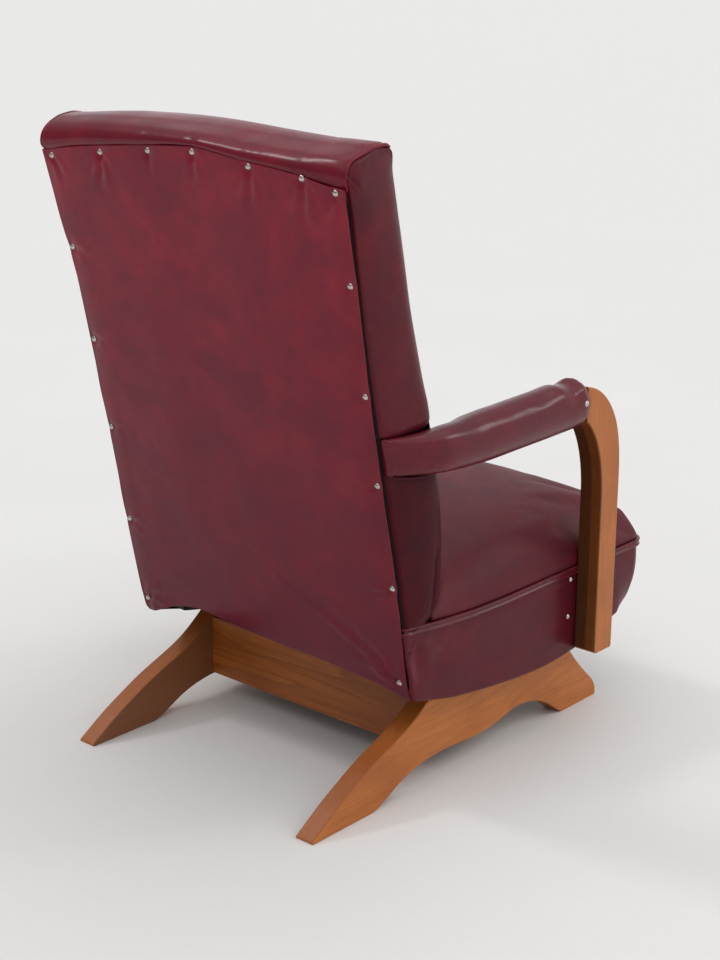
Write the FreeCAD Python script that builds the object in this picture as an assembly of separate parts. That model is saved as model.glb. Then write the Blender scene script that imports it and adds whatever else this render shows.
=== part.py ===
import FreeCAD, Part
import math
import os

V = FreeCAD.Vector

# ----------------------------------------------------------------------------
# Platform rocker. Millimetres, +Z up, +X towards the sitter's left, the sitter
# faces -Y. Drawn about a datum midway between the tips of the base rails and
# shifted by Y_SHIFT at the end, so that the origin is on the floor below the
# middle of the whole chair.
# ----------------------------------------------------------------------------
Y_SHIFT = 37.0

# base
BASE_X = 240.0            # outer face of a base rail
BASE_T = 31.0             # thickness of a base rail
PLATFORM_Z = 155.0        # top of the platform that the runners bear on
CROSS_T = 22.0
REAR_CROSS_Y = 84.0       # rear face of the rear cross rail
FRONT_CROSS_Y = -205.0    # front face of the front cross rail

# rocking axis: centre of the runner's crown
PIVOT_Y = -40.0
CROWN_R = 30.0
CROWN_GAP = 0.4
PIVOT_Z = PLATFORM_Z + CROWN_GAP + CROWN_R
ROCK_BACK = 12.0
ROCK_FORWARD = 8.0
STOP_MARGIN = 0.5         # degrees between the runner's flats and the stop

# seat frame
RAIL_IN_X = 243.0         # inner face of a seat side rail
RAIL_OUT_X = 269.0        # outer face of a seat side rail and of a back post
RAIL_TOP_Z = 244.0
SKIRT_X0 = 269.3
SKIRT_X1 = 272.3
SEAT_FRONT_Y = -407.0
SEAT_REAR_Y = 95.0
SEAT_TOP_Z = 350.0
RUNNER_X = (211.0, 243.0)
RUNNER_Y = (-235.0, 100.0)
RUNNER_TOP_Z = 216.0

# back: a plane that leans by RECLINE, held as y = BACK_Y + tan * (z - BACK_Z)
BACK_Y = 258.3
BACK_Z = 600.0
RECLINE = math.degrees(math.atan(0.20543))
POST_V = (-51.5, -5.5)    # depth of a back post, measured from the outside back
POST_TOP_W = 283.0
POST_FOOT_Z = 168.0
BACK_TOP_W = 323.5
BACK_ARCH = 11.0
BORDER_X = (269.3, 274.0)
BORDER_REAR_V = -8.0      # a dark gap shows between the border and the outside back

# arms
ARM_X = (273.0, 311.0)    # thickness of the bent arm
ARM_POST_Y = (-262.0, -216.0)
ARM_FOOT_Z = 123.0
PAD_X = (260.0, 321.0)
PAD_Z = (481.0, 556.0)
PAD_FRONT_Y = -170.0
TAIL_X = (276.0, 306.0)
TAIL_Z = (497.0, 537.0)
TAIL_REAR_Y = 230.0

# sheet and padding
VINYL = 2.0

nodes = {}


def put(name, *shapes):
    sols = []
    for s in shapes:
        sols += s.Solids
    for s in sols:
        if not s.isValid() or s.Volume <= 0:
            print("CHECK", name, s.isValid(), s.Volume)
    nodes[name] = sols


def box(x0, x1, y0, y1, z0, z1):
    return Part.makeBox(x1 - x0, y1 - y0, z1 - z0, V(x0, y0, z0))


def flip(s):
    return s.mirror(V(0, 0, 0), V(1, 0, 0))


def cyl(p, d, r, h):
    return Part.makeCylinder(r, h, V(*p), V(*d))


def spline(pts):
    c = Part.BSplineCurve()
    c.interpolate([V(*p) for p in pts])
    return c.toShape()


def line(a, b):
    return Part.LineSegment(V(*a), V(*b)).toShape()


def yz(x, pts):
    return [(x, p[0], p[1]) for p in pts]


def prism(edges, d):
    return Part.Face(Part.Wire(Part.__sortEdges__(edges))).extrude(V(*d))


def poly(pts, d):
    return Part.Face(Part.makePolygon([V(*p) for p in pts] + [V(*pts[0])])).extrude(V(*d))


def ease(s, r, pick):
    """Rounds the edges of s that pick() names, leaving s as it is if that fails."""
    es = [e for e in s.Edges if pick(e)]
    try:
        t = s.makeFillet(r, es)
        if t.isValid() and t.Volume > 0.9 * s.Volume:
            return t.Solids[0]
    except Exception:
        pass
    print("CHECK edge rounding left off", r, len(es))
    return s


# local frame of the back: x, v (towards the rear, 0 on the outside back),
# w (up along the outside back, 0 at BACK_Z)
LEAN = FreeCAD.Placement(V(0, BACK_Y, BACK_Z), FreeCAD.Rotation(V(1, 0, 0), -RECLINE))
SA, CA = math.sin(math.radians(RECLINE)), math.cos(math.radians(RECLINE))


def lean(s):
    return s.transformed(LEAN.toMatrix(), True)


def to_vw(y, z):
    return ((y - BACK_Y) * CA - (z - BACK_Z) * SA, (y - BACK_Y) * SA + (z - BACK_Z) * CA)


# ----------------------------------------------------------------------------
# small hardware
# ----------------------------------------------------------------------------
NAIL_R, NAIL_H, NAIL_SHANK, NAIL_L = 4.5, 2.6, 0.9, 13.0


def nail():
    """Domed nail on the Z axis, underside of its head at z 0."""
    rr = (NAIL_R ** 2 + NAIL_H ** 2) / (2 * NAIL_H)
    cap = Part.makeSphere(rr, V(0, 0, NAIL_H - rr)).common(box(-9, 9, -9, 9, 0, 9))
    return cap.fuse(Part.makeCylinder(NAIL_SHANK, NAIL_L + 0.5, V(0, 0, -NAIL_L))).removeSplitter()


def nail_hole():
    return Part.makeCylinder(NAIL_SHANK + 0.06, NAIL_L + 1.5, V(0, 0, -NAIL_L - 0.5))


def screw(length, r=2.0, head_r=4.0, head_h=2.2):
    """Wood screw along -Z, underside of its flat head at z 0."""
    s = Part.makeCylinder(head_r, head_h).fuse(Part.makeCylinder(r, length + 0.1, V(0, 0, -length)))
    s = s.removeSplitter()
    return s.cut(box(-head_r, head_r, -0.5, 0.5, head_h - 0.9, head_h + 1))


def screw_hole(length, r=2.0):
    return Part.makeCylinder(r + 0.06, length + 3.0, V(0, 0, -length - 0.4))


def aim(s, p, d):
    """Turns a shape made on +Z to point along d at p."""
    return s.transformed(FreeCAD.Placement(V(*p), FreeCAD.Rotation(V(0, 0, 1), V(*d))).toMatrix(), True)


def cut_all(s, tools):
    for t in tools:
        s = s.cut(t)
    return s.Solids[0] if len(s.Solids) == 1 else s


# ----------------------------------------------------------------------------
# base: two sawn rails, each with two splayed feet, and two cross rails
# ----------------------------------------------------------------------------
X0 = BASE_X - BASE_T
sole_r = ((333, 0), (212, 0))
under = [(212, 0), (184.5, 10), (160, 22), (132, 32), (101.6, 38), (70, 40.5), (30, 39), (-27, 36),
         (-73, 41), (-111, 48), (-140, 48), (-167, 42), (-198, 28), (-219, 13.5), (-237.6, 0)]
front = [(-333, 6), (-329, 20), (-313, 38), (-290, 60), (-258, 96), (-236, 126), (-215, PLATFORM_Z)]
rear = [(62, PLATFORM_Z), (85, 136.5), (122, 110), (160, 92), (220, 68), (252.6, 51.7), (289, 32), (322, 11), (333, 4)]
profile = [
    line(*yz(X0, sole_r)),
    spline(yz(X0, under)),
    line(*yz(X0, [(-237.6, 0), (-331, 0)])),
    line(*yz(X0, [(-331, 0), (-333, 6)])),
    spline(yz(X0, front)),
    line(*yz(X0, [(-215, PLATFORM_Z), (62, PLATFORM_Z)])),
    spline(yz(X0, rear)),
    line(*yz(X0, [(333, 4), (333, 0)])),
]
rail = prism(profile, (BASE_T, 0, 0))


# eased long edges: the rear and front slopes and the arch, one pair at a time
for lo, hi in (((60, 330), (8, 156)), ((-330, -214), (8, 156)), ((-238, 213), (-1, 60))):
    def slope(e, lo=lo, hi=hi):
        b = e.BoundBox
        m = e.valueAt((e.FirstParameter + e.LastParameter) / 2)
        return b.XLength < 0.1 and e.Length > 60 and b.ZLength > 5 and lo[0] < m.y < lo[1] and hi[0] < m.z < hi[1]
    rail = ease(rail, 2.2, slope)

rear_cross = box(-X0, X0, REAR_CROSS_Y - CROSS_T, REAR_CROSS_Y, 40.5, 136.0)
rear_cross = ease(rear_cross, 1.5, lambda e: e.BoundBox.XLength > 300)
front_cross = box(-X0, X0, FRONT_CROSS_Y, FRONT_CROSS_Y + CROSS_T, 62.0, 138.0)
front_cross = ease(front_cross, 1.5, lambda e: e.BoundBox.XLength > 300)

DOWEL_R = 4.75
base_dowels, dowel_holes = [], []
for yc, zs in ((REAR_CROSS_Y - CROSS_T / 2, (68, 108)), (FRONT_CROSS_Y + CROSS_T / 2, (82, 118))):
    for z in zs:
        for sx in (1, -1):
            base_dowels.append(cyl((sx * (X0 - 22), yc, z), (sx, 0, 0), DOWEL_R, 44))
            dowel_holes.append(cyl((sx * (X0 - 22.3), yc, z), (sx, 0, 0), DOWEL_R + 0.06, 44.6))
rail_l = cut_all(rail, [h for h in dowel_holes if h.BoundBox.XMin > 0])
rail_r = cut_all(flip(rail), [h for h in dowel_holes if h.BoundBox.XMax < 0])
rear_cross = cut_all(rear_cross, dowel_holes)
front_cross = cut_all(front_cross, dowel_holes)

# glue blocks in the corners, screwed to the cross rails
blocks, block_screws = [], []
L = 42.0
for sy, y, z0, z1 in ((-1, REAR_CROSS_Y - CROSS_T, 52, 120), (1, FRONT_CROSS_Y + CROSS_T, 68, 124)):
    b = poly([(X0, y, z0), (X0 - L, y, z0), (X0, y + sy * L, z0)], (0, 0, z1 - z0))
    for z in (z0 + 16, z1 - 16):
        p = (X0 - 27, y + sy * 6.0, z)
        d = (0, sy, 0)
        sc = aim(screw(20), p, d)
        hole = aim(screw_hole(20), p, d).fuse(aim(Part.makeCylinder(4.4, 30), p, d))
        b = b.cut(hole)
        block_screws += [sc, flip(sc)]
        if sy < 0:
            rear_cross = rear_cross.cut(hole).cut(flip(hole))
        else:
            front_cross = front_cross.cut(hole).cut(flip(hole))
    blocks += [b, flip(b)]

put("base_rail_left", rail_l)
put("base_rail_right", rail_r)
put("base_rear_cross_rail", rear_cross)
put("base_front_cross_rail", front_cross)
put("base_dowels", *base_dowels)
put("base_corner_blocks", *blocks)
put("base_block_screws", *block_screws)

# ----------------------------------------------------------------------------
# runners: a rounded crown on the platform, with flats that land as stops
# ----------------------------------------------------------------------------
ab = math.radians(ROCK_BACK + STOP_MARGIN)
af = math.radians(ROCK_FORWARD + STOP_MARGIN)


def on_crown(a):
    return (PIVOT_Y + CROWN_R * math.sin(a), PIVOT_Z - CROWN_R * math.cos(a))


rb, rf = on_crown(ab), on_crown(-af)
end_b = (RUNNER_Y[1], rb[1] + (RUNNER_Y[1] - rb[0]) * math.tan(ab))
end_f = (RUNNER_Y[0], rf[1] + (rf[0] - RUNNER_Y[0]) * math.tan(af))
mid = on_crown((ab - af) / 2)
xr = RUNNER_X[0]
runner = prism([
    Part.Arc(V(xr, *rf), V(xr, *mid), V(xr, *rb)).toShape(),
    line(*yz(xr, [rb, end_b])),
    line(*yz(xr, [end_b, (RUNNER_Y[1], RUNNER_TOP_Z)])),
    line(*yz(xr, [(RUNNER_Y[1], RUNNER_TOP_Z), (RUNNER_Y[0], RUNNER_TOP_Z)])),
    line(*yz(xr, [(RUNNER_Y[0], RUNNER_TOP_Z), end_f])),
    line(*yz(xr, [end_f, rf])),
], (RUNNER_X[1] - RUNNER_X[0], 0, 0))

# ----------------------------------------------------------------------------
# seat box: side rails with a swept lower edge, front and rear rails
# ----------------------------------------------------------------------------
HEM = [(-340, 166), (-310, 146), (-262, 126), (-214, 116), (-148, 112), (-83, 115), (-36, 119.5), (2, 124), (73, 134.5),
       (112, 143)]
xs = RAIL_IN_X
rear_top = (BACK_Y + (POST_V[0] - 0.2) / CA + math.tan(math.radians(RECLINE)) * (RAIL_TOP_Z - BACK_Z), RAIL_TOP_Z)
rear_bot_z = 148.0
rear_bot = (BACK_Y + (POST_V[0] - 0.2) / CA + math.tan(math.radians(RECLINE)) * (rear_bot_z - BACK_Z), rear_bot_z)
board_low = [(y, z + 2.5) for y, z in HEM]
side_rail = prism([
    spline(yz(xs, board_low)),
    line(*yz(xs, [board_low[-1], rear_bot])),
    line(*yz(xs, [rear_bot, rear_top])),
    line(*yz(xs, [rear_top, (-340, RAIL_TOP_Z)])),
    line(*yz(xs, [(-340, RAIL_TOP_Z), board_low[0]])),
], (RAIL_OUT_X - RAIL_IN_X, 0, 0))
front_rail = box(-RAIL_IN_X, RAIL_IN_X, -340, -315, 180, RAIL_TOP_Z)
rear_rail = box(-RAIL_IN_X, RAIL_IN_X, 134.5, 156.5, 190, RAIL_TOP_Z)

# back posts in the leaning frame, feet cut level
post = lean(box(RAIL_IN_X, RAIL_OUT_X, POST_V[0], POST_V[1], -470, POST_TOP_W))
post = post.cut(box(200, 320, -200, 600, -50, POST_FOOT_Z)).Solids[0]


def arch_wire(x, w_end, w_mid, v):
    return Part.Arc(V(-x, v, w_end), V(0, v, w_mid), V(x, v, w_end)).toShape()


def arched(x, w0, w_end, w_mid, v0, v1):
    """Board between -x and x with an arched top, in the leaning frame."""
    return prism([
        arch_wire(x, w_end, w_mid, v0),
        line((-x, v0, w_end), (-x, v0, w0)),
        line((-x, v0, w0), (x, v0, w0)),
        line((x, v0, w0), (x, v0, w_end)),
    ], (0, v1 - v0, 0))


top_rail = lean(arched(RAIL_IN_X, 232, 283, 307, -40, POST_V[1]))
low_rail = lean(box(-RAIL_IN_X, RAIL_IN_X, -40, POST_V[1], -332, -282))

# dowels of the seat and back frame
frame_dowels, fd_holes = [], []


def frame_dowel(p, local, length=46.0):
    for sx in (1, -1):
        a = cyl((sx * (RAIL_IN_X - 28), p[0], p[1]), (sx, 0, 0), 4.75, length)
        h = cyl((sx * (RAIL_IN_X - 28.3), p[0], p[1]), (sx, 0, 0), 4.81, length + 0.6)
        frame_dowels.append(lean(a) if local else a)
        fd_holes.append(lean(h) if local else h)


for p in ((-327.5, 200), (-327.5, 226)):
    frame_dowel(p, False)
for p in ((149, 205), (152, 229)):
    frame_dowel(p, False, 36.0)
for p in ((-23, 246), (-23, 270), (-23, -320), (-23, -296)):
    frame_dowel(p, True)

side_l = cut_all(side_rail, [h for h in fd_holes if h.BoundBox.XMin > 0 and h.BoundBox.YMax < 0])
side_r = cut_all(flip(side_rail), [h for h in fd_holes if h.BoundBox.XMax < 0 and h.BoundBox.YMax < 0])
front_rail = cut_all(front_rail, [h for h in fd_holes if h.BoundBox.YMax < 0])
rear_rail = cut_all(rear_rail, [h for h in fd_holes if 100 < h.BoundBox.YMin < 160 and h.BoundBox.ZMax < 250])
post_l = cut_all(post, [h for h in fd_holes if h.BoundBox.XMin > 0 and h.BoundBox.YMin > 100])
post_r = cut_all(flip(post), [h for h in fd_holes if h.BoundBox.XMax < 0 and h.BoundBox.YMin > 100])
top_rail = cut_all(top_rail, [h for h in fd_holes if h.BoundBox.ZMin > 700])
low_rail = cut_all(low_rail, [h for h in fd_holes if 260 < h.BoundBox.ZMin < 400])

# lag screws from the back of each post into the end of its side rail
post_screws = []
for zc in (196.0, 228.0):
    v, w = to_vw(0, 0)
    w_s = (zc - BACK_Z) / CA
    p = (256.0, POST_V[1] - 4.0, w_s)
    hole = aim(screw_hole(78, 3.0), p, (0, 1, 0)).fuse(aim(Part.makeCylinder(7.2, 30), p, (0, 1, 0)))
    sc = lean(aim(screw(78, 3.0, 6.5, 3.5), p, (0, 1, 0)))
    hole = lean(hole)
    post_screws += [sc, flip(sc)]
    post_l = post_l.cut(hole)
    post_r = post_r.cut(flip(hole))
    side_l = side_l.cut(hole)
    side_r = side_r.cut(flip(hole))

# runner screws, from the inner face of each runner
runner_screws = []
runner_l, runner_r = runner, flip(runner)
for y in (-195.0, -125.0, 62.0):
    p = (RUNNER_X[0] + 2.4, y, 203.0)
    sc = aim(screw(44, 2.2), p, (-1, 0, 0))
    hole = aim(screw_hole(44, 2.2), p, (-1, 0, 0)).fuse(aim(Part.makeCylinder(4.4, 8), p, (-1, 0, 0)))
    runner_screws += [sc, flip(sc)]
    runner_l = runner_l.cut(hole)
    runner_r = runner_r.cut(flip(hole))
    side_l = side_l.cut(hole)
    side_r = side_r.cut(flip(hole))

# corner blocks of the seat frame
seat_blocks = []
for y, sy in ((-315.0, 1), (134.5, -1)):
    b = poly([(RAIL_IN_X, y, 219), (RAIL_IN_X - 58, y, 219), (RAIL_IN_X, y + sy * 58, 219)], (0, 0, 22))
    seat_blocks += [b, flip(b)]

# ----------------------------------------------------------------------------
# spring units: bracket on the base, bracket on the runner, two coils a side
# ----------------------------------------------------------------------------
SHELF_LOW, SHELF_HIGH = 113.0, 174.0
BRK_Y = (PIVOT_Y - 58, PIVOT_Y + 58)
low_brk = box(X0 - 3, X0, BRK_Y[0], BRK_Y[1], 78, SHELF_LOW).fuse(
    box(158, X0, BRK_Y[0], BRK_Y[1], SHELF_LOW - 3, SHELF_LOW)).removeSplitter()
high_brk = box(RUNNER_X[0] - 2.8, RUNNER_X[0], BRK_Y[0], BRK_Y[1], SHELF_HIGH, 214).fuse(
    box(158, RUNNER_X[0], BRK_Y[0], BRK_Y[1], SHELF_HIGH, SHELF_HIGH + 3)).removeSplitter()
COIL_R, COIL_WIRE, COIL_X = 17.0, 2.3, 182.0
coil_h = SHELF_HIGH - SHELF_LOW - 2 * COIL_WIRE - 0.2


def coil(y):
    helix = Part.makeHelix(coil_h / 5.0, coil_h, COIL_R)
    ring = Part.Wire(Part.makeCircle(COIL_WIRE, V(COIL_R, 0, 0), V(0, 1, 0)))
    s = Part.Wire(helix.Edges).makePipeShell([ring], True, True)
    s = Part.Solid(s) if s.ShapeType == "Shell" else s
    s.translate(V(COIL_X, y, SHELF_LOW + COIL_WIRE + 0.1))
    return s


coils = [coil(PIVOT_Y - 38), coil(PIVOT_Y + 38)]
coils += [flip(c) for c in coils]
# seat cups that hold the ends of the coils, pressed up from the shelves
for y in (PIVOT_Y - 38, PIVOT_Y + 38):
    low_brk = low_brk.fuse(Part.makeCylinder(11.0, 5.0, V(COIL_X, y, SHELF_LOW)))
    high_brk = high_brk.fuse(Part.makeCylinder(11.0, 5.0, V(COIL_X, y, SHELF_HIGH - 5.0)))
low_brk, high_brk = low_brk.removeSplitter(), high_brk.removeSplitter()

low_scr, high_scr = [], []
low_l, high_l = low_brk, high_brk
for y in (PIVOT_Y - 46, PIVOT_Y, PIVOT_Y + 46):
    p = (X0 - 3, y, 94)
    sc, hole = aim(screw(24, 2.2), p, (-1, 0, 0)), aim(screw_hole(24, 2.2), p, (-1, 0, 0))
    low_scr += [sc, flip(sc)]
    low_l = low_l.cut(hole)
    rail_l, rail_r = rail_l.cut(hole), rail_r.cut(flip(hole))
    p = (RUNNER_X[0] - 2.8, y, 196)
    sc, hole = aim(screw(24, 2.2), p, (-1, 0, 0)), aim(screw_hole(24, 2.2), p, (-1, 0, 0))
    high_scr += [sc, flip(sc)]
    high_l = high_l.cut(hole)
    runner_l, runner_r = runner_l.cut(hole), runner_r.cut(flip(hole))
put("base_rail_left", rail_l)
put("base_rail_right", rail_r)
put("spring_bracket_lower_left", low_l)
put("spring_bracket_lower_right", flip(low_l))
put("spring_bracket_upper_left", high_l)
put("spring_bracket_upper_right", flip(high_l))
put("spring_bracket_screws_lower", *low_scr)
put("spring_bracket_screws_upper", *high_scr)
put("rocker_coil_springs", *coils)

# ----------------------------------------------------------------------------
# zigzag springs of the seat and of the back, with their clips
# ----------------------------------------------------------------------------
WIRE_R = 1.7


def zigzag(length, n, half):
    """Flat zigzag wire along +Y from y 0, runs along X, in the plane z 0."""
    p = length / (n - 1)
    r = p / 2.0
    a = half - r
    es = []
    for i in range(n):
        y = i * p
        s = 1 if i % 2 == 0 else -1
        es.append(Part.LineSegment(V(-s * a, y, 0), V(s * a, y, 0)).toShape())
        if i < n - 1:
            es.append(Part.Arc(V(s * a, y, 0), V(s * (a + r), y + r, 0), V(s * a, y + p, 0)).toShape())
    path = Part.Wire(es)
    ring = Part.Wire(Part.makeCircle(WIRE_R, V(-a, 0, 0), V(1, 0, 0)))
    s = path.makePipeShell([ring], True, False)
    return Part.Solid(s) if s.ShapeType == "Shell" else s


seat_springs, seat_clips = [], []
for x in (-176, -88, 0, 88, 176):
    s = zigzag(468, 17, 27)
    s.translate(V(x, -326, RAIL_TOP_Z + WIRE_R + 0.1))
    seat_springs.append(s)
    for y in (-326, 142):
        seat_clips.append(box(x - 9, x + 9, y - 5, y + 5, RAIL_TOP_Z + 2 * WIRE_R + 0.2, RAIL_TOP_Z + 2 * WIRE_R + 1.5))
back_springs, back_clips = [], []
for x in (-165, -55, 55, 165):
    s = zigzag(560, 19, 27)
    s = s.transformed(FreeCAD.Placement(V(x, -40 - WIRE_R - 0.1, -308), FreeCAD.Rotation(V(1, 0, 0), 90)).toMatrix(), True)
    back_springs.append(lean(s))
    for w in (-308, 252):
        back_clips.append(lean(box(x - 9, x + 9, -40 - 2 * WIRE_R - 1.5, -40 - 2 * WIRE_R - 0.2, w - 5, w + 5)))

seat_deck = box(-262, 262, -338, 120, 249.4, 250.9)
back_deck = lean(box(-241, 241, -48.6, -47.0, -330, 280))
dust = box(-RAIL_IN_X + 0.5, RAIL_IN_X - 0.5, -314.5, 134.0, RUNNER_TOP_Z + 0.3, RUNNER_TOP_Z + 1.3)

# ----------------------------------------------------------------------------
# seat upholstery: padding inside a cover, welt, front border and side skirts
# ----------------------------------------------------------------------------
SEAT_BOT = 255.2


def seat_solid(o):
    """Seat form, o inside its outer face. The bottom stays level."""
    top = [(SEAT_REAR_Y - o, 312 - o), (60, 326 - o), (-40, 341 - o), (-150, SEAT_TOP_Z - o), (-250, 349 - o),
           (-330, 341.5 - o), (-372, 327 - o), (-398 + o, 303), (-405.5 + o, 275)]
    f = [(-405.5 + o, 275), (-404.5 + o, SEAT_BOT)]
    a = prism([spline(yz(-300, top)), line(*yz(-300, f)), line(*yz(-300, [f[1], (SEAT_REAR_Y - o, SEAT_BOT)])),
               line(*yz(-300, [(SEAT_REAR_Y - o, SEAT_BOT), top[0]]))], (600, 0, 0))
    hw = 271.8 - o
    half = [(hw, 280), (hw - 7, 303 - o), (hw - 27, 320 - o), (150, 341 - o), (0, SEAT_TOP_Z + 0.5 - o)]
    crown = half + [(-x, z) for x, z in half[-2::-1]]
    b = prism([spline([(x, -500, z) for x, z in crown]), line((hw, -500, 280), (hw, -500, SEAT_BOT)),
               line((hw, -500, SEAT_BOT), (-hw, -500, SEAT_BOT)), line((-hw, -500, SEAT_BOT), (-hw, -500, 280))], (0, 800, 0))
    s = a.common(b)
    c = box(-hw, hw, -405.5 + o, SEAT_REAR_Y - o, SEAT_BOT - 5, 400)
    c = c.makeFillet(30, [e for e in c.Edges if e.BoundBox.ZLength > 100 and e.BoundBox.YMax < 0])
    return s.common(c).Solids[0]


seat_pad = seat_solid(VINYL)
seat_cover = seat_solid(0).cut(seat_pad).Solids[0]
seat_cover = seat_cover.cut(box(-269.6, 269.6, -403.3, SEAT_REAR_Y - VINYL, SEAT_BOT - 1, SEAT_BOT)).Solids[0]


def plan(hw, y0, y1, r, z0, z1):
    c = box(-hw, hw, y0, y1, z0, z1)
    return c.makeFillet(r, [e for e in c.Edges if e.BoundBox.ZLength > z1 - z0 - 0.1 and e.BoundBox.YMax < -200])


welt = plan(SKIRT_X1, SEAT_FRONT_Y, 172, 31, 245.0, 254.8).cut(plan(SKIRT_X0, SEAT_FRONT_Y + 4.5, 200, 28, 240, 260)).Solids[0]

# front border, a padded face that rolls under the front rail
fb = [(-340.4, 150), (-362, 150), (-380, 158), (-393, 178), (-401, 205), (-404, 228), (-404, 244.7), (-340.4, 244.7)]
border = poly(yz(-SKIRT_X1, fb), (2 * SKIRT_X1, 0, 0))
for sx in (1, -1):
    border = border.cut(poly([(sx * SKIRT_X1 - sx * 20, -412, 145), (sx * (SKIRT_X1 + 5), -412, 145),
                              (sx * (SKIRT_X1 + 5), -381, 145)], (0, 0, 110)))
border = border.Solids[0]

hem = [(-340, 145), (-310, 137.5), (-262, 126), (-214, 116), (-148, 112), (-83, 115), (-36, 119.5), (2, 124), (73, 134.5),
       (132, 149), (150, 155.5), (163, 166)]
sk_top = (BACK_Y - 2.6 / CA + math.tan(math.radians(RECLINE)) * (244.7 - BACK_Z), 244.7)
skirt = prism([
    spline(yz(SKIRT_X0, hem)),
    line(*yz(SKIRT_X0, [hem[-1], sk_top])),
    line(*yz(SKIRT_X0, [sk_top, (-340, 244.7)])),
    line(*yz(SKIRT_X0, [(-340, 244.7), hem[0]])),
], (SKIRT_X1 - SKIRT_X0, 0, 0))

# ----------------------------------------------------------------------------
# back upholstery
# ----------------------------------------------------------------------------
SIL = [(210, 890), (200, 841), (187, 778), (172.5, 713), (157.5, 659), (143, 608), (132, 575), (124.5, 547), (112, 500),
       (106, 460), (99, 403), (97, 345), (101, 303), (111, 282), (131, 268)]
front_vw = [to_vw(*p) for p in SIL]


def back_edges(o, x, open_in):
    """Closed outline of the back cushion in v, w, drawn o inside its outer face.
    open_in moves the side towards the frame, so that a tool reaches past it."""
    roll = [(-0.6 - o, 306), (-4 - o, 314.5 - o), (-14, 320.5 - o), (-34, BACK_TOP_W - o), (-60, 323 - o), (-84, 319.5 - o), (-98 + o, 309 - o)]
    face = roll + [(v + o, w) for v, w in front_vw]
    last = (face[-1][0], face[-1][1] + o)
    face[-1] = last
    foot = (-52.2 + open_in, last[1] - 4.0 * (-52.2 + open_in - last[0]) / (-52.2 - last[0]))
    end = (-0.6 - o, 265.0)
    if open_in:
        ins = [foot, (-52.2 + open_in, 240.0), (-0.6 - o, 240.0)]
        es = [line((x, *ins[0]), (x, *ins[1])), line((x, *ins[1]), (x, *ins[2])), line((x, *ins[2]), (x, *face[0]))]
    else:
        ins = [foot, (-52.2, 284.5), (-5.0, 284.5), (-5.0, 265.0), end]
        es = [line((x, *ins[i]), (x, *ins[i + 1])) for i in range(4)] + [line((x, *end), (x, *face[0]))]
    es.append(spline([(x, v, w) for v, w in face]))
    es.append(line((x, *last), (x, *foot)))
    return es


def back_form(o, hw, open_in=0.0):
    s = prism(back_edges(o, -hw, open_in), (2 * hw, 0, 0))
    t = prism([
        Part.Arc(V(-hw - 2, -200, BACK_TOP_W - BACK_ARCH - o), V(0, -200, BACK_TOP_W + 0.5 - o),
                 V(hw + 2, -200, BACK_TOP_W - BACK_ARCH - o)).toShape(),
        line((-hw - 2, -200, BACK_TOP_W - BACK_ARCH - o), (-hw - 2, -200, -420)),
        line((-hw - 2, -200, -420), (hw + 2, -200, -420)),
        line((hw + 2, -200, -420), (hw + 2, -200, BACK_TOP_W - BACK_ARCH - o)),
    ], (0, 260, 0))
    return s.common(t)


SEAM_MID, SEAM_END = 304.0, 279.0
rail_room = arched(RAIL_IN_X + 0.3, 200, 283.4, 307.4, -40.3, -5.0)
post_room = box(RAIL_IN_X - 0.3, RAIL_OUT_X + 0.3, -51.8, -5.0, 200, 283.4)
below_seam = arched(300, 200, SEAM_END + 0.6 - 5.0, SEAM_MID + 0.6, -5.2, 5.0)

back_pad = back_form(VINYL, RAIL_OUT_X - VINYL).cut(rail_room).cut(post_room).cut(flip(post_room)).cut(below_seam)
back_pad = max(back_pad.Solids, key=lambda s: s.Volume)
back_cover = back_form(0.0, RAIL_OUT_X).cut(back_form(VINYL, RAIL_OUT_X - VINYL, 14.0)).cut(below_seam)
back_cover = back_cover.cut(rail_room).cut(post_room).cut(flip(post_room))
back_cover = max(back_cover.Solids, key=lambda s: s.Volume)
back_pad, back_cover = lean(back_pad), lean(back_cover)

# side borders, above and below the arm
edge_vw = [(v, w) for v, w in front_vw]


def border_strip(z_lo, z_hi):
    x = BORDER_X[0]
    roll = [(BORDER_REAR_V, 286), (-12, 297), (-24, 304), (-45, 308), (-68, 308), (-90, 303), (-101, 293)]
    face = roll + edge_vw
    foot = (BORDER_REAR_V, face[-1][1])
    s = prism([spline([(x, v, w) for v, w in face]), line((x, *face[-1]), (x, *foot)), line((x, *foot), (x, *face[0]))],
              (BORDER_X[1] - BORDER_X[0], 0, 0))
    return lean(s).common(box(200, 300, -200, 600, z_lo, z_hi)).Solids[0]


upper_border = border_strip(557.5, 1000)
lower_border = border_strip(258.5, 479.5)

# outside back: one sheet, arched along its top seam, hem drooping at its corners
pb = [(-271, -449), (-250, -447), (-214, -432), (-180, -423), (0, -420.5), (180, -423), (214, -432), (250, -447), (271, -449)]
panel = prism([
    arch_wire(271, SEAM_END - 5.0, SEAM_MID, -2.2),
    line((271, -2.2, SEAM_END - 5.0), (271, -2.2, -449)),
    spline([(x, -2.2, w) for x, w in pb]),
    line((-271, -2.2, -449), (-271, -2.2, SEAM_END - 5.0)),
], (0, 2.0, 0))

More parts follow.
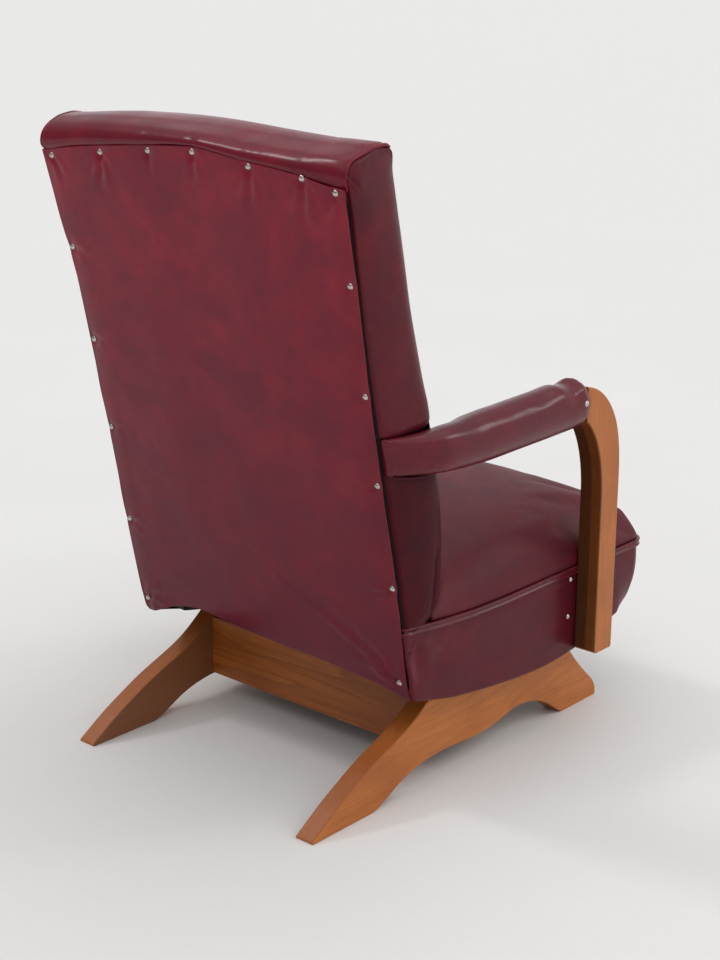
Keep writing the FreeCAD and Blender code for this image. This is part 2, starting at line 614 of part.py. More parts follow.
# ----------------------------------------------------------------------------
# arms: a bent post that runs back as a rail inside its pad
# ----------------------------------------------------------------------------
xa = ARM_X[0]
crook = [(-262, 395), (-260.5, 430), (-250, 478), (-229, 513), (-201, 536), (PAD_FRONT_Y - 0.4, 546)]
throat = [(PAD_FRONT_Y - 0.4, 495), (-179, 487.5), (-191, 472), (-204, 445), (-212.5, 413), (-216, 375)]
arm = prism([
    spline(yz(xa, crook)),
    line(*yz(xa, [crook[-1], throat[0]])),
    spline(yz(xa, throat)),
    line(*yz(xa, [throat[-1], (ARM_POST_Y[1], ARM_FOOT_Z + 4)])),
    line(*yz(xa, [(ARM_POST_Y[1], ARM_FOOT_Z + 4), (ARM_POST_Y[1] - 4, ARM_FOOT_Z)])),
    line(*yz(xa, [(ARM_POST_Y[1] - 4, ARM_FOOT_Z), (ARM_POST_Y[0] + 4, ARM_FOOT_Z)])),
    line(*yz(xa, [(ARM_POST_Y[0] + 4, ARM_FOOT_Z), (ARM_POST_Y[0], ARM_FOOT_Z + 4)])),
    line(*yz(xa, [(ARM_POST_Y[0], ARM_FOOT_Z + 4), crook[0]])),
], (ARM_X[1] - ARM_X[0], 0, 0))
arm = ease(arm, 2.5, lambda e: e.BoundBox.XLength < 0.1 and e.Length > 40 and e.BoundBox.YLength > 0.5 or
           (e.BoundBox.XLength < 0.1 and e.BoundBox.ZLength > 200 and e.BoundBox.YLength < 0.5))


def run_up(o):
    """Tool under the arm tail, whose lower edge rises towards the back post."""
    z = [(90, TAIL_Z[0] - 0.3), (150, 501.5), (200, 506), (262, 509.5)]
    return poly(yz(200, [(y, q - o) for y, q in z] + [(262, 480), (90, 480)]), (160, 0, 0))


def run_in(o):
    """Tool that takes the outer rear corner off the arm rail and its pad, o inside the pad's face."""
    pl = [(322, 146), (318, 168), (310, 190), (299, 213), (287, 229), (279, 241), (279, 320), (360, 320), (360, 146)]
    pl = [(x - o if x < 350 else x, y) for x, y in pl]
    es = [line((*pl[i], 440), (*pl[(i + 1) % len(pl)], 440)) for i in range(len(pl))]
    return prism(es, (0, 0, 160))


tail = box(TAIL_X[0], TAIL_X[1], PAD_FRONT_Y - 1.0, TAIL_REAR_Y, TAIL_Z[0], TAIL_Z[1]).cut(run_in(7.0)).cut(run_up(0.0))
heel = box(RAIL_OUT_X, TAIL_X[0] + 1, 194, TAIL_REAR_Y, TAIL_Z[0], TAIL_Z[1]).cut(run_up(0.0))
arm = arm.fuse(tail).fuse(heel).removeSplitter().Solids[0]


def pad_section(o, y0, y1):
    c = box(PAD_X[0] + o, PAD_X[1] - o, y0, y1, PAD_Z[0] + o, PAD_Z[1] - o)
    c = c.makeFillet(27, [e for e in c.Edges if e.BoundBox.YLength > 100])
    ends = [e for e in c.Edges if e.BoundBox.YLength < 0.1 and abs(e.BoundBox.YMin - y0) < 0.1]
    return c.makeFillet(16, ends)


def pad_form(o):
    s = pad_section(o, PAD_FRONT_Y + o, 300)
    rear = lean(box(200, 400, -2.6 - o, 200, -400, 400))
    inner = lean(box(200, RAIL_OUT_X + 0.4 + o, -124 - o, 200, -400, 400))
    return s.cut(rear).cut(inner).cut(run_in(o)).Solids[0]


tail_room = box(TAIL_X[0] - 0.2, TAIL_X[1] + 0.2, PAD_FRONT_Y - 9, TAIL_REAR_Y + 0.2, TAIL_Z[0] - 0.2, TAIL_Z[1] + 0.2).cut(run_in(6.8)).cut(run_up(0.2)).fuse(
    box(RAIL_OUT_X - 1, TAIL_X[0] + 1, 193.8, TAIL_REAR_Y + 0.2, TAIL_Z[0] - 0.2, TAIL_Z[1] + 0.2))
pad_in = pad_form(VINYL)
pad_cover = pad_form(0.0).cut(pad_in).cut(tail_room)
pad_cover = max(pad_cover.Solids, key=lambda s: s.Volume)
pad_in = pad_in.cut(tail_room)
pad_in = max(pad_in.Solids, key=lambda s: s.Volume)

# arm screws: two through the side rail into the post, one through the back post into the rail
arm_screws = []
arm_l = arm
skirt_l = skirt
for y, z in ((-239, 170), (-239, 225)):
    p = (RAIL_IN_X - 0.1, y, z)
    sc = aim(screw(60, 3.0, 6.5, 3.5), p, (-1, 0, 0))
    hole = aim(screw_hole(60, 3.0), p, (-1, 0, 0))
    arm_screws += [sc, flip(sc)]
    side_l, side_r = side_l.cut(hole), side_r.cut(flip(hole))
    skirt_l = skirt_l.cut(hole)
    arm_l = arm_l.cut(hole)
p = (RAIL_IN_X - 0.1, 212, 517)
sc = aim(screw(44, 3.0, 6.5, 3.5), p, (-1, 0, 0))
hole = aim(screw_hole(44, 3.0), p, (-1, 0, 0))
arm_screws += [sc, flip(sc)]
post_l, post_r = post_l.cut(hole), post_r.cut(flip(hole))
arm_l = arm_l.cut(hole)

# ----------------------------------------------------------------------------
# domed nails
# ----------------------------------------------------------------------------
side_nails_vw = [(265, 274), (261.8, 142), (257.7, 3), (261.2, -137), (264, -291), (260.2, -429)]
right_nails_vw = [(-262, 264), (-265, 148), (-264, 2), (-263, -122.5), (-264, -273.5), (-252, -424)]
top_nails = [(159.5, 285.5), (62, 294), (-23, 298), (-121, 286), (-210, 278)]
back_nails = []
for x, w in side_nails_vw + right_nails_vw + top_nails:
    p = (x, -0.15, w)
    back_nails.append(lean(aim(nail(), p, (0, 1, 0))))
    hole = lean(aim(nail_hole(), p, (0, 1, 0)))
    panel_hole = aim(nail_hole(), p, (0, 1, 0))
    panel = panel.cut(panel_hole)
    if abs(x) > 243:
        if x > 0:
            post_l = post_l.cut(hole)
        else:
            post_r = post_r.cut(hole)
    else:
        top_rail = top_rail.cut(hole)
panel = lean(panel)

side_nails = []
for y, z in ((-203.5, 237.5), (-199.5, 179.0)):
    p = (SKIRT_X1 + 0.05, y, z)
    n = aim(nail(), p, (1, 0, 0))
    hole = aim(nail_hole(), p, (1, 0, 0))
    side_nails += [n, flip(n)]
    skirt_l = skirt_l.cut(hole)
    side_l, side_r = side_l.cut(hole), side_r.cut(flip(hole))

arm_nails = []
p = (PAD_X[1] + 0.05, -152, 527)
n = aim(nail(), p, (1, 0, 0)).fuse(aim(Part.makeCylinder(NAIL_SHANK, 8, V(0, 0, -NAIL_L - 7)), p, (1, 0, 0))).removeSplitter()
hole = aim(Part.makeCylinder(NAIL_SHANK + 0.06, 24, V(0, 0, -NAIL_L - 7.5)), p, (1, 0, 0))
arm_nails += [n, flip(n)]
pad_cover = max(pad_cover.cut(hole).Solids, key=lambda s: s.Volume)
pad_in = max(pad_in.cut(hole).Solids, key=lambda s: s.Volume)
arm_l = arm_l.cut(hole)

# ----------------------------------------------------------------------------
# nodes of the rocking part
# ----------------------------------------------------------------------------
put("runner_left", runner_l)
put("runner_right", runner_r)
put("runner_screws", *runner_screws)
put("seat_side_rail_left", side_l)
put("seat_side_rail_right", side_r)
put("seat_front_rail", front_rail)
put("seat_rear_rail", rear_rail)
put("seat_corner_blocks", *seat_blocks)
put("frame_dowels", *frame_dowels)
put("back_post_left", post_l)
put("back_post_right", post_r)
put("back_post_screws", *post_screws)
put("back_top_rail", top_rail)
put("back_lower_rail", low_rail)
put("seat_zigzag_springs", *seat_springs)
put("seat_spring_clips", *seat_clips)
put("back_zigzag_springs", *back_springs)
put("back_spring_clips", *back_clips)
put("seat_burlap", seat_deck)
put("back_burlap", back_deck)
put("dust_cover", dust)
put("seat_padding", seat_pad)
put("seat_cover", seat_cover)
put("seat_welt", welt)
put("seat_front_border", border)
put("side_skirt_left", skirt_l)
put("side_skirt_right", flip(skirt_l))
put("back_padding", back_pad)
put("back_cover", back_cover)
put("back_side_upper_left", upper_border)
put("back_side_upper_right", flip(upper_border))
put("back_side_lower_left", lower_border)
put("back_side_lower_right", flip(lower_border))
put("outside_back", panel)
put("arm_left", arm_l)
put("arm_right", flip(arm_l))
put("arm_screws", *arm_screws)
put("arm_padding_left", pad_in)
put("arm_padding_right", flip(pad_in))
put("arm_cover_left", pad_cover)
put("arm_cover_right", flip(pad_cover))
put("back_panel_nails", *back_nails)
put("side_nails", *side_nails)
put("arm_nails", *arm_nails)

os.makedirs("parts", exist_ok=True)
for name in sorted(nodes):
    sols = []
    for s in nodes[name]:
        t = s.copy()
        t.translate(V(0, Y_SHIFT, 0))
        sols.append(t)
    shape = sols[0] if len(sols) == 1 else Part.makeCompound(sols)
    shape.exportStep("parts/%s.step" % name)
    b = shape.BoundBox
    print("%-30s %2d solids %10.0f mm3  x %.1f %.1f  y %.1f %.1f  z %.1f %.1f" % (
        name, len(sols), sum(s.Volume for s in sols), b.XMin, b.XMax, b.YMin, b.YMax, b.ZMin, b.ZMax))
print(len(nodes), "nodes")
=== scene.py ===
import math

import bmesh
import bpy
import numpy as np
from mathutils import Matrix, Vector


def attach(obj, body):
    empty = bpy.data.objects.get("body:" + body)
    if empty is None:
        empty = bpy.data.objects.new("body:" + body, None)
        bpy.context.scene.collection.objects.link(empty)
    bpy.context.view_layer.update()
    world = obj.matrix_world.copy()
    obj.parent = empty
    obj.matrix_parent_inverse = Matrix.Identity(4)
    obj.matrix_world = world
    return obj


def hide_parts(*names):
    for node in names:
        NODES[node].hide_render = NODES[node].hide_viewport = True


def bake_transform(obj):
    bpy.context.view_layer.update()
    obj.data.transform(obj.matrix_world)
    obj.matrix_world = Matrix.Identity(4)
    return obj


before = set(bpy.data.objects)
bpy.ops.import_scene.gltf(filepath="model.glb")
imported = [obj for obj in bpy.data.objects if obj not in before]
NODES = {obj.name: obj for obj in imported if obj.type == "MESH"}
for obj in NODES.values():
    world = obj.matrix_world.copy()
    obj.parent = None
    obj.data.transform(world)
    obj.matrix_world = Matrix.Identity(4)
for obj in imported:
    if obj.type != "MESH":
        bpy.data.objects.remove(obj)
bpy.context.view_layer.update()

# ----------------------------------------------------------------------------
# Frame of the drawing: millimetres, the back leans about (BACK_Y, BACK_Z) with
# v towards the rear and w up along the outside back. put() turns millimetres
# into metres.
# ----------------------------------------------------------------------------
Y_SHIFT = 37.0
BACK_Y, BACK_Z = 258.3, 600.0
LEAN = math.atan(0.20543)
SA, CA = math.sin(LEAN), math.cos(LEAN)


def back_at(x, v, w):
    x, v, w = np.broadcast_arrays(np.asarray(x, float), np.asarray(v, float), np.asarray(w, float))
    return np.stack([x, BACK_Y + w * SA + v * CA, BACK_Z + w * CA - v * SA], -1)


def to_vw(y, z):
    y, z = np.asarray(y, float), np.asarray(z, float)
    return (y - BACK_Y) * CA - (z - BACK_Z) * SA, (y - BACK_Y) * SA + (z - BACK_Z) * CA


def sstep(a, b, x):
    t = np.clip((np.asarray(x, float) - a) / (b - a), 0, 1)
    return t * t * (3 - 2 * t)


def bell(x, s):
    return np.exp(-(np.asarray(x, float) / s) ** 2)


def curve(pts, n, dense=40):
    """n points evenly spaced along a smooth line through pts."""
    p = np.asarray(pts, float)
    q = np.vstack([2 * p[0] - p[1], p, 2 * p[-1] - p[-2]])
    out = []
    for i in range(1, len(q) - 2):
        t = np.linspace(0, 1, dense, endpoint=False)[:, None]
        a, b, c, d = q[i - 1], q[i], q[i + 1], q[i + 2]
        out.append(0.5 * (2 * b + (c - a) * t + (2 * a - 5 * b + 4 * c - d) * t ** 2 + (3 * b - a - 3 * c + d) * t ** 3))
    out.append(p[-1:])
    c = np.vstack(out)
    s = np.r_[0, np.cumsum(np.linalg.norm(np.diff(c, axis=0), axis=1))]
    u = np.linspace(0, s[-1], n) if np.isscalar(n) else np.asarray(n) * s[-1]
    return np.stack([np.interp(u, s, c[:, k]) for k in range(c.shape[1])], -1)


def smooth_of(xs, ys):
    """Smooth function through points given in rising xs."""
    c = curve(np.stack([xs, ys], -1), 400)
    k = np.argsort(c[:, 0])
    return lambda x: np.interp(x, c[k, 0], c[k, 1])


TABLE = np.random.RandomState(23).rand(32, 32, 32) * 2 - 1


def noise3(p, size):
    """Smooth noise in -1..1 with features of about size."""
    q = np.asarray(p, float) / size
    i = np.floor(q).astype(int)
    f = q - i
    f = f * f * (3 - 2 * f)
    r = 0
    for dx in (0, 1):
        for dy in (0, 1):
            for dz in (0, 1):
                wgt = (f[..., 0] if dx else 1 - f[..., 0]) * (f[..., 1] if dy else 1 - f[..., 1]) * (f[..., 2] if dz else 1 - f[..., 2])
                r = r + wgt * TABLE[(i[..., 0] + dx) % 32, (i[..., 1] + dy) % 32, (i[..., 2] + dz) % 32]
    return r


def normals_of(g):
    """Unit normals of a grid of points."""
    du, dv = np.gradient(g, axis=0), np.gradient(g, axis=1)
    n = np.cross(du, dv)
    return n / np.maximum(np.linalg.norm(n, axis=-1, keepdims=True), 1e-9)


# ----------------------------------------------------------------------------
# mesh helpers
# ----------------------------------------------------------------------------
def put(name, verts, faces, mat, smooth=True):
    v = np.asarray(verts, float).copy()
    v[:, 1] += Y_SHIFT
    v *= 0.001
    me = bpy.data.meshes.new(name)
    me.from_pydata(v.tolist(), [], [tuple(int(i) for i in f) for f in faces])
    me.validate()
    bm = bmesh.new()
    bm.from_mesh(me)
    bmesh.ops.remove_doubles(bm, verts=bm.verts, dist=1e-6)
    bmesh.ops.recalc_face_normals(bm, faces=bm.faces)
    bm.to_mesh(me)
    bm.free()
    for p in me.polygons:
        p.use_smooth = smooth
    o = bpy.data.objects.new(name, me)
    bpy.context.scene.collection.objects.link(o)
    me.materials.append(mat)
    return o


def slab(g, inner, rim=None):
    """Closed mesh between two grids of the same shape. rim holds rings of points
    that run round the boundary from the first grid to the second."""
    nu, nv = g.shape[:2]
    n = nu * nv
    idx = np.arange(n).reshape(nu, nv)
    f = []
    a, b, c, d = idx[:-1, :-1], idx[1:, :-1], idx[1:, 1:], idx[:-1, 1:]
    q = np.stack([a, b, c, d], -1).reshape(-1, 4)
    f += q.tolist()
    f += (q[:, ::-1] + n).tolist()
    loop = loop_of(nu, nv)
    verts = [g.reshape(-1, 3), inner.reshape(-1, 3)]
    rings = [loop]
    at = 2 * n
    for r in (rim or []):
        verts.append(np.asarray(r))
        rings.append(np.arange(at, at + len(loop)))
        at += len(loop)
    rings.append(loop + n)
    for r0, r1 in zip(rings[:-1], rings[1:]):
        f += np.stack([r0, np.roll(r0, -1), np.roll(r1, -1), r1], -1).tolist()
    return np.vstack(verts), f


def loop_of(nu, nv):
    idx = np.arange(nu * nv).reshape(nu, nv)
    return np.r_[idx[:-1, 0], idx[-1, :-1], idx[:0:-1, -1], idx[0, :0:-1]]


def tube(rings, cap=True):
    """Closed mesh through rings of points, each ring closed. The ends are fans."""
    m, k = len(rings), len(rings[0])
    v = [np.asarray(r, float) for r in rings]
    f = []
    for i in range(m - 1):
        r0, r1 = np.arange(k) + i * k, np.arange(k) + (i + 1) * k
        f += np.stack([r0, np.roll(r0, -1), np.roll(r1, -1), r1], -1).tolist()
    if cap:
        v += [v[0].mean(0)[None], v[m - 1].mean(0)[None]]
        c0, c1 = m * k, m * k + 1
        for j in range(k):
            f.append([c0, (j + 1) % k, j])
            f.append([c1, (m - 1) * k + j, (m - 1) * k + (j + 1) % k])
    return np.vstack(v), f


def coords(o):
    a = np.zeros(len(o.data.vertices) * 3, np.float32)
    o.data.vertices.foreach_get("co", a)
    return a.reshape(-1, 3).astype(float)


def set_coords(o, c):
    o.data.vertices.foreach_set("co", np.asarray(c, np.float32).ravel())
    o.data.update()


def subdivide(o, n=1):
    m = o.modifiers.new("sub", "SUBSURF")
    m.levels = m.render_levels = n
    bake(o)


def bake(o):
    """Applies the modifiers of o to its mesh."""
    dg = bpy.context.evaluated_depsgraph_get()
    me = bpy.data.meshes.new_from_object(o.evaluated_get(dg), depsgraph=dg)
    old = o.data
    o.modifiers.clear()
    o.data = me
    me.name = old.name
    bpy.data.meshes.remove(old)
    for p in me.polygons:
        p.use_smooth = True


def puff(o, pins, cap, pressure=4.0, frames=20, bend=0.5, stiff=15.0):
    """Fills a closed cover under pressure. pins holds how firmly each point is
    tacked, 0 to 1, and cap the most that a point may move, in millimetres."""
    rest = coords(o)
    vg = o.vertex_groups.new(name="pin")
    for k in np.unique(np.round(pins, 2)):
        if k > 0:
            vg.add(np.nonzero(np.abs(pins - k) < 0.0051)[0].tolist(), float(k), "REPLACE")
    m = o.modifiers.new("cloth", "CLOTH")
    s = m.settings
    s.quality = 5
    s.mass = 0.3
    s.tension_stiffness = s.compression_stiffness = stiff
    s.shear_stiffness = 5.0
    s.bending_stiffness = bend
    s.use_pressure = True
    s.uniform_pressure_force = pressure
    s.effector_weights.gravity = 0.0
    s.vertex_group_mass = "pin"
    m.collision_settings.use_collision = False
    m.collision_settings.use_self_collision = False
    m.point_cache.frame_start, m.point_cache.frame_end = 1, frames
    sc = bpy.context.scene
    sc.frame_start, sc.frame_end = 1, frames
    for f in range(1, frames + 1):
        sc.frame_set(f)
    dg = bpy.context.evaluated_depsgraph_get()
    ev = o.evaluated_get(dg)
    c = np.zeros(len(ev.data.vertices) * 3, np.float32)
    ev.data.vertices.foreach_get("co", c)
    d = c.reshape(-1, 3).astype(float) - rest
    o.modifiers.clear()
    o.vertex_groups.clear()
    sc.frame_set(1)
    n = np.linalg.norm(d, axis=1, keepdims=True)
    lim = cap * 0.001
    d = d * np.where(n > 1e-9, lim * np.tanh(n / lim) / np.maximum(n, 1e-9), 0)
    print("puffed", o.name, "mean %.2f mm, most %.2f mm" % (1000 * np.linalg.norm(d, axis=1).mean(), 1000 * np.linalg.norm(d, axis=1).max()))
    set_coords(o, rest + d)


def relax(o, times, factor=0.5, keep=None):
    """Evens out a mesh. keep is how much of each point stays, 0 to 1."""
    m = o.data
    e = np.zeros(len(m.edges) * 2, np.int32)
    m.edges.foreach_get("vertices", e)
    e = e.reshape(-1, 2)
    c = coords(o)
    cnt = np.zeros(len(c))
    np.add.at(cnt, e[:, 0], 1)
    np.add.at(cnt, e[:, 1], 1)
    for _ in range(times):
        s = np.zeros_like(c)
        np.add.at(s, e[:, 0], c[e[:, 1]])
        np.add.at(s, e[:, 1], c[e[:, 0]])
        k = factor if keep is None else factor * (1 - keep[:, None])
        c = c + k * (s / np.maximum(cnt, 1)[:, None] - c)
    set_coords(o, c)


# ----------------------------------------------------------------------------
# materials
# ----------------------------------------------------------------------------
def tree_of(name):
    m = bpy.data.materials.new(name)
    m.use_nodes = True
    t = m.node_tree
    t.nodes.clear()
    out = t.nodes.new("ShaderNodeOutputMaterial")
    b = t.nodes.new("ShaderNodeBsdfPrincipled")
    t.links.new(b.outputs[0], out.inputs[0])
    tc = t.nodes.new("ShaderNodeTexCoord")
    return m, t, b, tc.outputs["Object"]


def node(t, kind, links=None, props=None, **vals):
    n = t.nodes.new(kind)
    for k, v in (props or {}).items():
        setattr(n, k, v)
    for k, v in vals.items():
        n.inputs[k.replace("_", " ")].default_value = v
    for k, v in (links or {}).items():
        t.links.new(v, n.inputs[k])
    return n


def mapped(t, src, scale=(1, 1, 1), loc=(0, 0, 0), rot=(0, 0, 0)):
    n = t.nodes.new("ShaderNodeMapping")
    t.links.new(src, n.inputs["Vector"])
    n.inputs["Scale"].default_value = scale
    n.inputs["Location"].default_value = loc
    n.inputs["Rotation"].default_value = rot
    return n.outputs[0]


def noise(t, src, scale, detail=3.0, rough=0.55, dist=0.0):
    n = node(t, "ShaderNodeTexNoise", {"Vector": src}, Scale=scale, Detail=detail, Roughness=rough, Distortion=dist)
    return n.outputs["Fac"]


def ramp(t, fac, stops, interp="LINEAR"):
    n = t.nodes.new("ShaderNodeValToRGB")
    t.links.new(fac, n.inputs[0])
    cr = n.color_ramp
    cr.interpolation = interp
    while len(cr.elements) < len(stops):
        cr.elements.new(0.5)
    for e, (p, c) in zip(cr.elements, stops):
        e.position = p
        e.color = (*c, 1.0) if len(c) == 3 else c
    return n.outputs[0]


def mix(t, fac, a, b, blend="MIX"):
    n = t.nodes.new("ShaderNodeMix")
    n.data_type = "RGBA"
    n.blend_type = blend
    for sock, v in ((n.inputs[0], fac), (n.inputs[6], a), (n.inputs[7], b)):
        if hasattr(v, "links"):
            t.links.new(v, sock)
        else:
            sock.default_value = v if np.isscalar(v) else (*v, 1.0)
    return n.outputs[2]


def maths(t, op, a, b=None, clamp=False):
    n = t.nodes.new("ShaderNodeMath")
    n.operation = op
    n.use_clamp = clamp
    for sock, v in ((n.inputs[0], a), (n.inputs[1], b)):
        if v is None:
            continue
        if hasattr(v, "links"):
            t.links.new(v, sock)
        else:
            sock.default_value = v
    return n.outputs[0]


def span(t, v, lo, hi, to_lo, to_hi):
    n = t.nodes.new("ShaderNodeMapRange")
    t.links.new(v, n.inputs["Value"])
    for k, x in (("From Min", lo), ("From Max", hi), ("To Min", to_lo), ("To Max", to_hi)):
        if isinstance(x, bpy.types.NodeSocket):
            t.links.new(x, n.inputs[k])
        else:
            n.inputs[k].default_value = x
    return n.outputs[0]


def bump(t, b, heights):
    """Chains bumps (height, strength, distance in metres) into the shader."""
    last = None
    for h, strength, dist in heights:
        n = t.nodes.new("ShaderNodeBump")
        n.inputs["Strength"].default_value = strength
        n.inputs["Distance"].default_value = dist
        t.links.new(h, n.inputs["Height"])
        if last is not None:
            t.links.new(last, n.inputs["Normal"])
        last = n.outputs[0]
    t.links.new(last, b.inputs["Normal"])


def vinyl(name="vinyl_oxblood", shift=(0, 0, 0), tone=1.0, rough=(0.30, 0.42), shine=0.24, coat=(0.2, 0.22), foot=None):
    m, t, b, co = tree_of(name)
    co = mapped(t, co, loc=shift)
    warp = node(t, "ShaderNodeTexNoise", {"Vector": co}, Scale=5.0, Detail=2.0)
    bent = node(t, "ShaderNodeVectorMath", {0: warp.outputs["Color"]}, {"operation": "SCALE"})
    bent.inputs["Scale"].default_value = 0.12
    moved = node(t, "ShaderNodeVectorMath", {0: co, 1: bent.outputs[0]}, {"operation": "ADD"}).outputs[0]
    tilt = mapped(t, moved, scale=(1.0, 1.0, 1.25), rot=(0.2, 0.55, 0.2))
    big = noise(t, tilt, 13.0, 4.0, 0.55, 0.15)
    mid = noise(t, tilt, 36.0, 5.0, 0.6, 0.15)
    blot = maths(t, "ADD", maths(t, "MULTIPLY", big, 0.62), maths(t, "MULTIPLY", mid, 0.38))
    k = tone
    col = ramp(t, blot, [
        (0.34, (0.150 * k, 0.0120 * k, 0.0270 * k)),
        (0.46, (0.182 * k, 0.0122 * k, 0.0265 * k)),
        (0.55, (0.212 * k, 0.0128 * k, 0.0270 * k)),
        (0.66, (0.250 * k, 0.0145 * k, 0.0285 * k)),
    ])
    if foot:
        # darker towards the foot
        ht = node(t, "ShaderNodeSeparateXYZ", {0: t.nodes.new("ShaderNodeTexCoord").outputs["Object"]}).outputs[2]
        ht = maths(t, "ADD", ht, maths(t, "MULTIPLY", big, 0.12))
        col = mix(t, span(t, ht, 0.22, 0.95, foot, 0.0), col, (0.070, 0.0085, 0.020))
    fine = noise(t, co, 160.0, 4.0, 0.6)
    col = mix(t, span(t, fine, 0.35, 0.7, 0.0, 0.22), col, (0.120 * k, 0.015 * k, 0.030 * k))
    t.links.new(col, b.inputs["Base Color"])
    worn = noise(t, co, 14.0, 4.0, 0.6)
    t.links.new(span(t, maths(t, "ADD", maths(t, "MULTIPLY", worn, 0.7), maths(t, "MULTIPLY", fine, 0.3)), 0.3, 0.7, rough[0], rough[1]), b.inputs["Roughness"])
    b.inputs["Specular IOR Level"].default_value = shine
    b.inputs["Coat Weight"].default_value = coat[0]
    b.inputs["Coat Roughness"].default_value = coat[1]
    b.inputs["Sheen Weight"].default_value = 0.012
    b.inputs["Sheen Roughness"].default_value = 0.4
    b.inputs["Sheen Tint"].default_value = (0.8, 0.6, 0.65, 1)
    cell = node(t, "ShaderNodeTexVoronoi", {"Vector": co}, {"feature": "SMOOTH_F1"}, Scale=620.0, Smoothness=0.6).outputs["Distance"]
    pit = noise(t, co, 950.0, 2.0, 0.5)
    slow = noise(t, co, 70.0, 3.0, 0.5)
    bump(t, b, [(cell, 0.16, 0.00035), (pit, 0.10, 0.0002), (slow, 0.10, 0.0012)])
    return m


def wood(name, along, tone=(1, 1, 1), seed=0.0, cathedral=0.35, rear=False, facing_shade=False):
    """Stained hardwood under a satin finish, with its grain along one axis."""
    m, t, b, co = tree_of(name)
    sc = [1.0, 1.0, 1.0]
    sc["xyz".index(along)] = 0.075
    stretched = mapped(t, co, scale=sc, loc=(seed, seed * 0.7, seed * 1.3))
    warp = noise(t, stretched, 9.0, 3.0)
    ring = maths(t, "ADD", noise(t, stretched, 26.0, 2.0, 0.5, 1.2), maths(t, "MULTIPLY", warp, 0.5))
    bands = maths(t, "FRACT", maths(t, "MULTIPLY", ring, 5.0))
    bands = ramp(t, bands, [(0.0, (0, 0, 0)), (0.42, (0.35, 0.35, 0.35)), (0.86, (1, 1, 1)), (1.0, (0, 0, 0))])
    fib = noise(t, mapped(t, co, scale=[s * (1 if s == 1 else 0.4) for s in sc], loc=(seed, 0, 0)), 420.0, 3.0, 0.6)
    pores = noise(t, mapped(t, co, scale=[s * (1 if s == 1 else 0.3) for s in sc], loc=(0, seed, 0)), 900.0, 2.0, 0.5)
    cloud = noise(t, mapped(t, co, loc=(seed, 0, seed)), 7.0, 3.0)
    base = ramp(t, cloud, [
        (0.30, tuple(np.array((0.420, 0.122, 0.022)) * tone)),
        (0.50, tuple(np.array((0.505, 0.156, 0.030)) * tone)),
        (0.72, tuple(np.array((0.575, 0.186, 0.040)) * tone)),
    ])
    base = mix(t, maths(t, "MULTIPLY", bands, cathedral), base, tuple(np.array((0.215, 0.060, 0.012)) * tone))
    base = mix(t, span(t, fib, 0.42, 0.68, 0.0, 0.32), base, tuple(np.array((0.240, 0.070, 0.014)) * tone))
    base = mix(t, span(t, pores, 0.60, 0.72, 0.0, 0.35), base, (0.075, 0.026, 0.009))
    if facing_shade:
        tn = node(t, "ShaderNodeSeparateXYZ", {0: t.nodes.new("ShaderNodeTexCoord").outputs["Normal"]})
        # painted shade: faces turned upwards are darker and redder
        base = mix(t, span(t, tn.outputs[2], 0.2, 0.65, 0.0, 0.55), base, (0.26, 0.060, 0.009))
        # painted shade: faces turned inwards, towards the other rail, are darker
        px = node(t, "ShaderNodeSeparateXYZ", {0: t.nodes.new("ShaderNodeTexCoord").outputs["Object"]}).outputs[0]
        inward = maths(t, "MULTIPLY", tn.outputs[0], maths(t, "MULTIPLY", maths(t, "SIGN", px), -1.0))
        base = mix(t, span(t, inward, 0.4, 0.8, 0.0, 0.78), base, (0.150, 0.058, 0.028))
    if rear:
        # painted shade: faces turned to the rear are darkened, more so on the inner half of the arm
        tc = t.nodes.new("ShaderNodeTexCoord")
        nr = node(t, "ShaderNodeSeparateXYZ", {0: tc.outputs["Normal"]})
        ps = node(t, "ShaderNodeSeparateXYZ", {0: tc.outputs["Object"]})
        edge = maths(t, "ADD", maths(t, "ABSOLUTE", ps.outputs[0]), maths(t, "MULTIPLY", warp, 0.003))
        base = mix(t, span(t, nr.outputs[1], 0.25, 0.75, 0.0, span(t, edge, 0.2935, 0.2965, 0.86, 0.66)), base, (0.022, 0.008, 0.003))
    t.links.new(base, b.inputs["Base Color"])
    t.links.new(span(t, cloud, 0.3, 0.7, 0.36, 0.48), b.inputs["Roughness"])
    b.inputs["Specular IOR Level"].default_value = 0.3
    b.inputs["Coat Weight"].default_value = 0.06
    b.inputs["Coat Roughness"].default_value = 0.3
    bump(t, b, [(fib, 0.12, 0.00025), (pores, 0.10, 0.0002), (cloud, 0.08, 0.002)])
    return m


def raw_wood(name, along, tone=1.0):
    m, t, b, co = tree_of(name)
    sc = [1.0, 1.0, 1.0]
    sc["xyz".index(along)] = 0.08
    st = mapped(t, co, scale=sc)
    g = noise(t, st, 60.0, 4.0, 0.6, 0.6)
    f = noise(t, st, 420.0, 2.0)
    c = ramp(t, g, [(0.3, (0.36 * tone, 0.22 * tone, 0.105 * tone)), (0.7, (0.56 * tone, 0.38 * tone, 0.20 * tone))])
    c = mix(t, span(t, f, 0.4, 0.7, 0, 0.35), c, (0.27 * tone, 0.16 * tone, 0.075 * tone))
    t.links.new(c, b.inputs["Base Color"])
    b.inputs["Roughness"].default_value = 0.75
    bump(t, b, [(f, 0.25, 0.0004)])
    return m


def metal(name, col, dark, rough):
    m, t, b, co = tree_of(name)
    n = noise(t, co, 220.0, 4.0, 0.6)
    big = noise(t, co, 40.0, 3.0)
    c = ramp(t, n, [(0.3, dark), (0.7, col)])
    t.links.new(c, b.inputs["Base Color"])
    b.inputs["Metallic"].default_value = 1.0
    t.links.new(span(t, big, 0.3, 0.7, rough - 0.06, rough + 0.1), b.inputs["Roughness"])
    bump(t, b, [(n, 0.08, 0.0002)])
    return m


